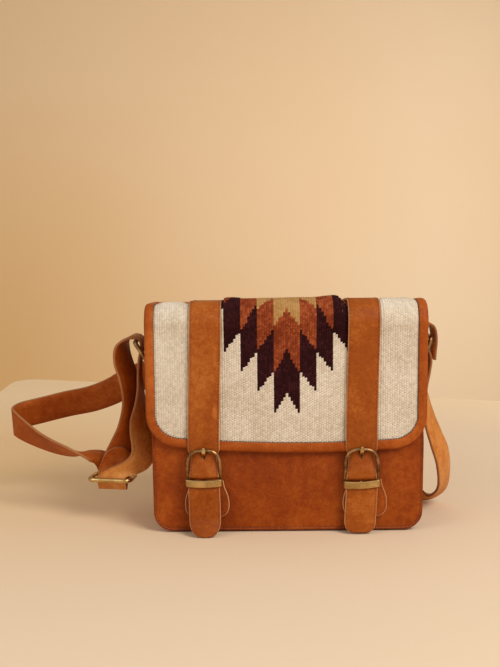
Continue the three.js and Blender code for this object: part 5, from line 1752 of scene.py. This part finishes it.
# %% Punch the straps
HOLE_SIDE = [(-2.3, 76.5), (-2.1, 73.9), (-1.2, 70.9)]
HOLE_SHAPE = HOLE_SIDE + [(0.0, 68.9)] + [(-a, b) for a, b in reversed(HOLE_SIDE)]
PUNCH_ENDS = (-50.0, -38.0)
for side, x in CLOSURE_X.items():
    rows = [[(x + a, y, b) for a, b in HOLE_SHAPE] for y in PUNCH_ENDS]
    punch = make_piece("punch", [skin(rows)], [raw_edge])
    modifier = flap_straps[side].modifiers.new("punch", "BOOLEAN")
    modifier.object = punch
    modifier.operation = "DIFFERENCE"
    modifier.solver = "EXACT"
    depsgraph = bpy.context.evaluated_depsgraph_get()
    punched = bpy.data.meshes.new_from_object(flap_straps[side].evaluated_get(depsgraph))
    flap_straps[side].modifiers.remove(modifier)
    flap_straps[side].data = punched
    bpy.data.objects.remove(punch)
print("straps punched:", [len(s.data.polygons) for s in flap_straps.values()])

# %% [markdown]
# A short leather loop holds each side ring to the gusset: a tongue that is sewn on, turned
# round the ring's bar. It is one strap section along a hook-shaped line.

# %% Ring tabs
TONGUE_SECTION, TONGUE_SLOTS = strap_section(13.8, 0.7, 0.12, 2.2)
TONGUE_X = 122.0
TONGUE_LEVELS = [128.5, 134.0, 142.0, 150.0]
TONGUE_TURN = 3.0
for side, sign in SIDES.items():
    knots = [(TONGUE_X, z) for z in TONGUE_LEVELS]
    for degrees in range(190, -171, -30):
        angle = math.radians(degrees)
        x = RING_BAR_X + TONGUE_TURN * math.cos(angle)
        knots.append((x, RING_BAR_Z + TONGUE_TURN * math.sin(angle)))
    line = through(knots, 4)
    along = unit(np.gradient(line, axis=0))
    centres = np.column_stack([sign * line[:, 0], np.zeros(len(line)), line[:, 1]])
    out = np.column_stack([-sign * along[:, 1], np.zeros(len(line)), along[:, 0]])
    across = np.tile((0.0, 1.0, 0.0), (len(line), 1))
    widths = [0.55 + 0.45 * math.sin(math.pi / 2 * min(1.0, k / 6)) for k in range(len(line))]
    rows = strap_rows(centres, across, out, TONGUE_SECTION, widths)
    part = skin(rows, column_slots=TONGUE_SLOTS, cap_slot=EDGE)
    tongue = make_piece("ring_tongue_" + side, [part], [body_leather, raw_edge, flesh_side])
    dress(tongue, "bag", "ring_tab_" + side)
    print(side, "ring tab:", len(tongue.data.polygons), "faces")

# %% [markdown]
# A band of leather is sewn along the back's upper edge and turned up over the raw ends of the
# flap's layers. It is the real hinge: when the flap opens, the band bends. Here it is baked where
# it lies, in place of the solid that it hides.

# %% Hinge band
BAND_LINE = [
    (36.2, 163.3),
    (36.25, 168.0),
    (36.3, 176.0),
    (36.35, 186.0),
    (36.6, 192.5),
    (37.3, 196.0),
    (37.9, 198.0),
    (38.2, 199.8),
    (38.2, 201.4),
    (38.0, 202.6),
    (37.4, 203.4),
]
BAND_HALF = 121.0
BAND_COLUMNS = 30
BAND_OUT = 0.7
BAND_IN = 0.6
line = through(BAND_LINE, 5)
along = unit(np.gradient(line, axis=0))
rows = []
band_shares = np.linspace(-1, 1, BAND_COLUMNS + 1)
for (y, z), (ay, az) in zip(line, along):
    outer = []
    inner = []
    for share in band_shares:
        x = BAND_HALF * share
        wave = 0.12 * ripple((x, 0, z), 25.0, 6.0)
        outer.append((x, y + az * (BAND_OUT + wave), z - ay * BAND_OUT))
        inner.append((x, y - az * BAND_IN, z + ay * BAND_IN))
    rows.append(outer + inner[::-1])
slots = [GRAIN] * BAND_COLUMNS + [EDGE] + [FLESH] * BAND_COLUMNS + [EDGE]
part = skin(rows, column_slots=slots, cap_slot=EDGE)
hinge_band = make_piece("hinge_band", [part], [body_leather, raw_edge, flesh_side], sharp=60)
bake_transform(hinge_band)
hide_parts("back_yoke")
print("hinge band:", len(hinge_band.data.polygons), "faces")

# %% [markdown]
# Thread holds all this together, and its stitches frame every piece in the photograph. They
# repeat along lines, so Geometry Nodes lay them: each line is resampled at the stitch pitch, and
# a small bead is set on every point, turned along the line and to the surface. There are three
# kinds: dark thread in the panels' grooves, brown thread near the edges of the straps and tabs,
# and tight dark stitches in the groove between the binding and the cloth, set so thick and close
# that they also paint the groove's shade as a dark line.

# %% Stitches
def thread_finish(name, dark, pale):
    """Waxed thread with a fine twist."""
    material, tree, shader, place = new_material(name)
    twist = noise_of(tree, place, 700.0, 2.0)
    painted(tree, shader, ramp(tree, twist, [(0.35, dark), (0.65, pale)]), 0.7)
    bumped(tree, shader, [(twist, 0.3, 0.0002)])
    return material


panel_thread = thread_finish("panel_thread", (0.080, 0.015, 0.003), (0.15, 0.035, 0.008))
strap_thread = thread_finish("strap_thread", (0.10, 0.024, 0.006), (0.17, 0.048, 0.012))
# Dark thread for the binding's groove; its thick, close stitches also paint the groove's shade.
groove_thread_and_shade = thread_finish("groove_thread_and_shade", (0.075, 0.022, 0.008), (0.14, 0.048, 0.018))
STITCH_INPUTS = {
    "Pitch": "Float",
    "Stitch Length": "Float",
    "Thread Radius": "Float",
    "Thread": "Material",
}


def stitch_tree():
    """Lays stitches along the incoming edges."""
    tree, given = new_tree("stitch_rows", STITCH_INPUTS)
    curve = add(tree, "GeometryNodeMeshToCurve", {"Mesh": given["Geometry"]}).outputs["Curve"]
    spacing = {"Curve": curve, "Length": given["Pitch"]}
    spaced = add(tree, "GeometryNodeResampleCurve", spacing, mode="LENGTH").outputs["Curve"]
    round_sizes = {"Segments": 6, "Rings": 5, "Radius": 1.0}
    ball = add(tree, "GeometryNodeMeshUVSphere", round_sizes).outputs["Mesh"]
    half = reckon(tree, "MULTIPLY", given["Stitch Length"], 0.5)
    sizes = {"X": half, "Y": given["Thread Radius"], "Z": given["Thread Radius"]}
    size = add(tree, "ShaderNodeCombineXYZ", sizes).outputs["Vector"]
    bead = add(tree, "GeometryNodeTransform", {"Geometry": ball, "Scale": size}).outputs["Geometry"]
    bead = add(tree, "GeometryNodeSetShadeSmooth", {"Geometry": bead}).outputs["Geometry"]
    turned = turned_to(tree, "leather_out", "seam_way", "X")
    laying = {"Points": spaced, "Instance": bead, "Rotation": turned}
    laid = add(tree, "GeometryNodeInstanceOnPoints", laying).outputs["Instances"]
    made_real(tree, laid, given["Thread"])
    return tree


sewing = stitch_tree()
print("stitch tree has", len(sewing.nodes), "nodes")

# %% [markdown]
# A seam is a line of points with the direction out of the leather at each. The panels are sewn in
# the groove of their welts, the hinge band along its lower edge, the flap straps and tabs along
# their pressed lines, and the binding in the groove beside the cloth. Every kind of thread is
# one piece, because its seams ride on one body.

# %% Sew the seams
SEWING = {
    "panels": ("bag", (0.0034, 0.0025, 0.00032, panel_thread)),
    "straps": ("flap", (0.0030, 0.0021, 0.00034, strap_thread)),
    # Close, thick beads: real stitches that also paint the groove's shade as a dark line.
    "binding": ("flap", (0.0024, 0.0020, 0.00055, groove_thread_and_shade)),
}
seams = {kind: [] for kind in SEWING}


def add_seam(kind, points, outwards):
    """Keeps a seam line for one kind of stitches."""
    seams[kind].append((np.asarray(points, float), unit(outwards)))


WELT_SEAM_INSET = 2.7
WELT_SEAM_DEPTH = 0.25
for name, (face_y, sign) in PANEL_FACES.items():
    outline = body_outline(BODY_HALF, PANEL_LIFT, PANEL_TOPS[name], BASE_RADIUS)
    ring = inset_ring(outline, WELT_SEAM_INSET)
    line = [(a, face_y - sign * WELT_SEAM_DEPTH, b) for a, b in ring]
    add_seam("panels", line, [(0, sign, 0)] * len(ring))
BAND_SEAM_HALF = 117
BAND_SEAM_Y = 37.1
BAND_SEAM_Z = 165.7
line = [(x, BAND_SEAM_Y, BAND_SEAM_Z) for x in np.linspace(-BAND_SEAM_HALF, BAND_SEAM_HALF, 60)]
add_seam("panels", line, [(0, 1, 0)] * len(line))

GROOVE_INSET = 8.3
GROOVE_OUT = 3.5
groove = []
for a, run, na, nr in binding_route:
    inset = GROOVE_INSET * binding_width(nr)
    groove.append((a + na * inset, run + nr * inset))
line = [flap_point(a, run, GROOVE_OUT) for a, run in groove]
add_seam("binding", line, [flap_out(a, run) for a, run in groove])

STRAP_SEAM_OUT = 0.98
TAB_SEAM_INSET = 2.2
TAB_SEAM_DEPTH = 0.05
for side in SIDES:
    centres, out, widths, domes = strap_lines[side]
    inset = FLAP_STRAP_HALF - FLAP_STRAP_INSET
    left = []
    right = []
    for centre, lift, width, dome in zip(centres, out, widths, domes):
        seat = centre + lift * (STRAP_SEAM_OUT - dome * (inset / FLAP_STRAP_HALF) ** 2)
        left.append(seat - np.array((inset * width, 0, 0)))
        right.append(seat + np.array((inset * width, 0, 0)))
    add_seam("straps", left + right[::-1], list(out) + list(out)[::-1])
    pear = inset_ring(pear_outline(CLOSURE_X[side] + TAB_SHIFTS[side]), TAB_SEAM_INSET)
    line = [(a, TAB_FRONT_Y + TAB_SEAM_DEPTH, b) for a, b in pear]
    add_seam("straps", line, [(0, -1, 0)] * len(pear))

for kind, (body, settings) in SEWING.items():
    values = dict(zip(STITCH_INPUTS, settings))
    points = []
    edges = []
    outwards = []
    ways = []
    for seam, out in seams[kind]:
        first = len(points)
        points += list(seam)
        outwards += list(out)
        ways += list(unit(np.gradient(seam, axis=0)))
        edges += [(first + k, first + k + 1) for k in range(len(seam) - 1)]
    carrier = carrier_mesh("seam_lines", points, edges, {"leather_out": outwards, "seam_way": ways})
    stitches = grown_piece("stitches_" + kind, carrier, sewing, values)
    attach(stitches, body)
    print("stitches of the", kind, "have", len(stitches.data.polygons), "faces")

# %% [markdown]
# The snaps behind the tabs are small turned discs whose solids are right as they are. They
# only get the brass.

# %% Snaps keep their solids
for node in ("snap_stud_left", "snap_stud_right", "snap_socket_left", "snap_socket_right"):
    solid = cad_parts[node]
    solid.data.materials.clear()
    solid.data.materials.append(antique_brass)
print("snaps are brass")

# %% [markdown]
# The bag stands on a pale table in front of a warm, pale wall. Both are stage and no part of
# the bag. The table's top is a plate with a rounded far left corner, and its far edge, which
# shows behind the bag, runs at a slant. Both surfaces have painted shade on the left, where they
# are darker and warmer, as in the photograph: on the wall it grows towards its foot, on the table
# towards the back. The table also has painted light at its far end, where it is paler. That is
# colour in the material, by the place on the surface, so it stays where it is from any side.

# %% Table and wall
def painted_light_finish(name, plain, warm_shade, across, other, rough, stretch=1.0, far=None):
    """A pale matt surface with painted shade, darker and warmer, on one side, with faint clouds and a
    fine tooth.

    across gives the X where the painted shade starts and is full; other gives an axis, the two
    places and the share of painted shade at the first; stretch draws the tooth out along X; the
    last argument gives the colour of painted light on the far part and the Y where it starts and is
    full.
    """
    material, tree, shader, place = new_material(name)
    axes = add(tree, "ShaderNodeSeparateXYZ", {"Vector": place}).outputs
    drawn = add(tree, "ShaderNodeMapping", {"Vector": place, "Scale": (1.0 / stretch, 1.0, 1.0)})
    clouds = noise_of(tree, place, 2.0, 3.0)
    tooth = noise_of(tree, drawn.outputs["Vector"], 260.0, 4.0)
    shade_over_x = spread(tree, axes["X"], across[0], across[1], 0.0, 0.9)
    shade_over_other = spread(tree, axes[other[0]], other[1], other[2], other[3], 1.0)
    cloudy = spread(tree, clouds, 0.3, 0.7, -0.05, 0.08)
    uneven = reckon(tree, "MULTIPLY_ADD", tooth, 0.15, cloudy)
    # Painted shade: a darker, warmer colour on one side.
    backdrop_shade = reckon(tree, "MULTIPLY_ADD", shade_over_x, shade_over_other, uneven)
    colour = ramp(tree, backdrop_shade, [(0.0, plain), (1.0, warm_shade)])
    # Painted light: a paler far part.
    if far is not None:
        far_light_colour, starts, full = far
        share = spread(tree, axes["Y"], starts, full, 0.0, 1.0)
        colour = mixed(tree, share, colour, (*far_light_colour, 1.0))
    painted(tree, shader, colour, rough)
    shader.inputs["Specular IOR Level"].default_value = 0.2
    bumped(tree, shader, [(tooth, 0.1, 0.0006)])
    return material


# The table: painted shade on the left, painted light at its far end.
table_finish = painted_light_finish(
    "table_finish",
    plain=(0.785, 0.61, 0.44),
    warm_shade=(0.80, 0.55, 0.295),
    across=(0.25, -0.3),
    other=("Y", -0.25, 0.2, 0.0),
    rough=0.75,
    stretch=12.0,
    far=((0.90, 0.69, 0.44), 0.35, 0.65),
)
# The wall: painted shade on the left, stronger towards its foot.
wall_finish = painted_light_finish(
    "wall_finish",
    plain=(0.82, 0.60, 0.385),
    warm_shade=(0.72, 0.41, 0.16),
    across=(0.4, -0.6),
    other=("Z", 0.6, -0.1, 0.38),
    rough=0.95,
)
TABLE_CORNER = 35.0
TABLE_LEFT = -442.0
TABLE_FAR = 780.0
TABLE_RIGHT = 1100.0
TABLE_RIGHT_FAR = 345.0
TABLE_NEAR = -1000.0
TABLE_LEVELS = (-0.2, -24.0)
table_ring = [(TABLE_LEFT, TABLE_NEAR), (TABLE_RIGHT, TABLE_NEAR), (TABLE_RIGHT, TABLE_RIGHT_FAR)]
for k in range(13):
    angle = math.radians(72 + 108 * k / 12)
    x = TABLE_LEFT + TABLE_CORNER * (1 + math.cos(angle))
    table_ring.append((x, TABLE_FAR + TABLE_CORNER * math.sin(angle)))
rows = [[(x, y, z) for x, y in table_ring] for z in TABLE_LEVELS]
table = make_piece("table", [skin(rows)], [table_finish], sharp=40)

WALL_HALF = 4000
WALL_Y = 1500
WALL_LOW = -900
WALL_TOP = 2600
wall_sides = [(-WALL_HALF, WALL_LOW), (WALL_HALF, WALL_LOW)]
wall_sides += [(WALL_HALF, WALL_TOP), (-WALL_HALF, WALL_TOP)]
wall_points = [(x, WALL_Y, z) for x, z in wall_sides]
wall = make_piece("wall", [(wall_points, [(0, 1, 2, 3)], [0])], [wall_finish])
print("stage set:", table.name, "and", wall.name)

# %% [markdown]
# The light in the photograph is soft and warm and comes from the right, above the camera: the
# straps throw a soft shade to their left. One large lamp gives that, a weaker one opens the
# shade from the left, a third one in a narrow cone lights only the wall, and the world lifts
# everything a little.

# %% Light
LAMP_COLOUR = (1.0, 0.98, 0.95)
BAG_MIDDLE = (0.0, 0.0, 0.1)


def lamp(name, place, target, size, power, cone=180.0):
    """A large soft lamp aimed at a point, with its light kept to a cone of so many degrees."""
    data = bpy.data.lights.new(name, "AREA")
    data.shape = "DISK"
    data.size = size
    data.energy = power
    data.color = LAMP_COLOUR
    data.spread = math.radians(cone)
    holder = bpy.data.objects.new(name, data)
    holder.location = place
    holder.rotation_euler = (Vector(target) - Vector(place)).to_track_quat("-Z", "Y").to_euler()
    scene.collection.objects.link(holder)


lamp("key_lamp", (0.8, -1.0, 1.2), BAG_MIDDLE, 0.8, 19.5)
lamp("fill_lamp", (-1.2, -0.9, 0.8), BAG_MIDDLE, 1.2, 6.6)
lamp("wall_lamp", (1.2, -0.3, 0.6), (0.15, 1.5, 0.1), 1.0, 2.4, 60.0)
world = bpy.data.worlds.new("room")
scene.world = world
world.use_nodes = True
backdrop = world.node_tree.nodes["Background"]
backdrop.inputs["Color"].default_value = (*LAMP_COLOUR, 1.0)
backdrop.inputs["Strength"].default_value = 0.44
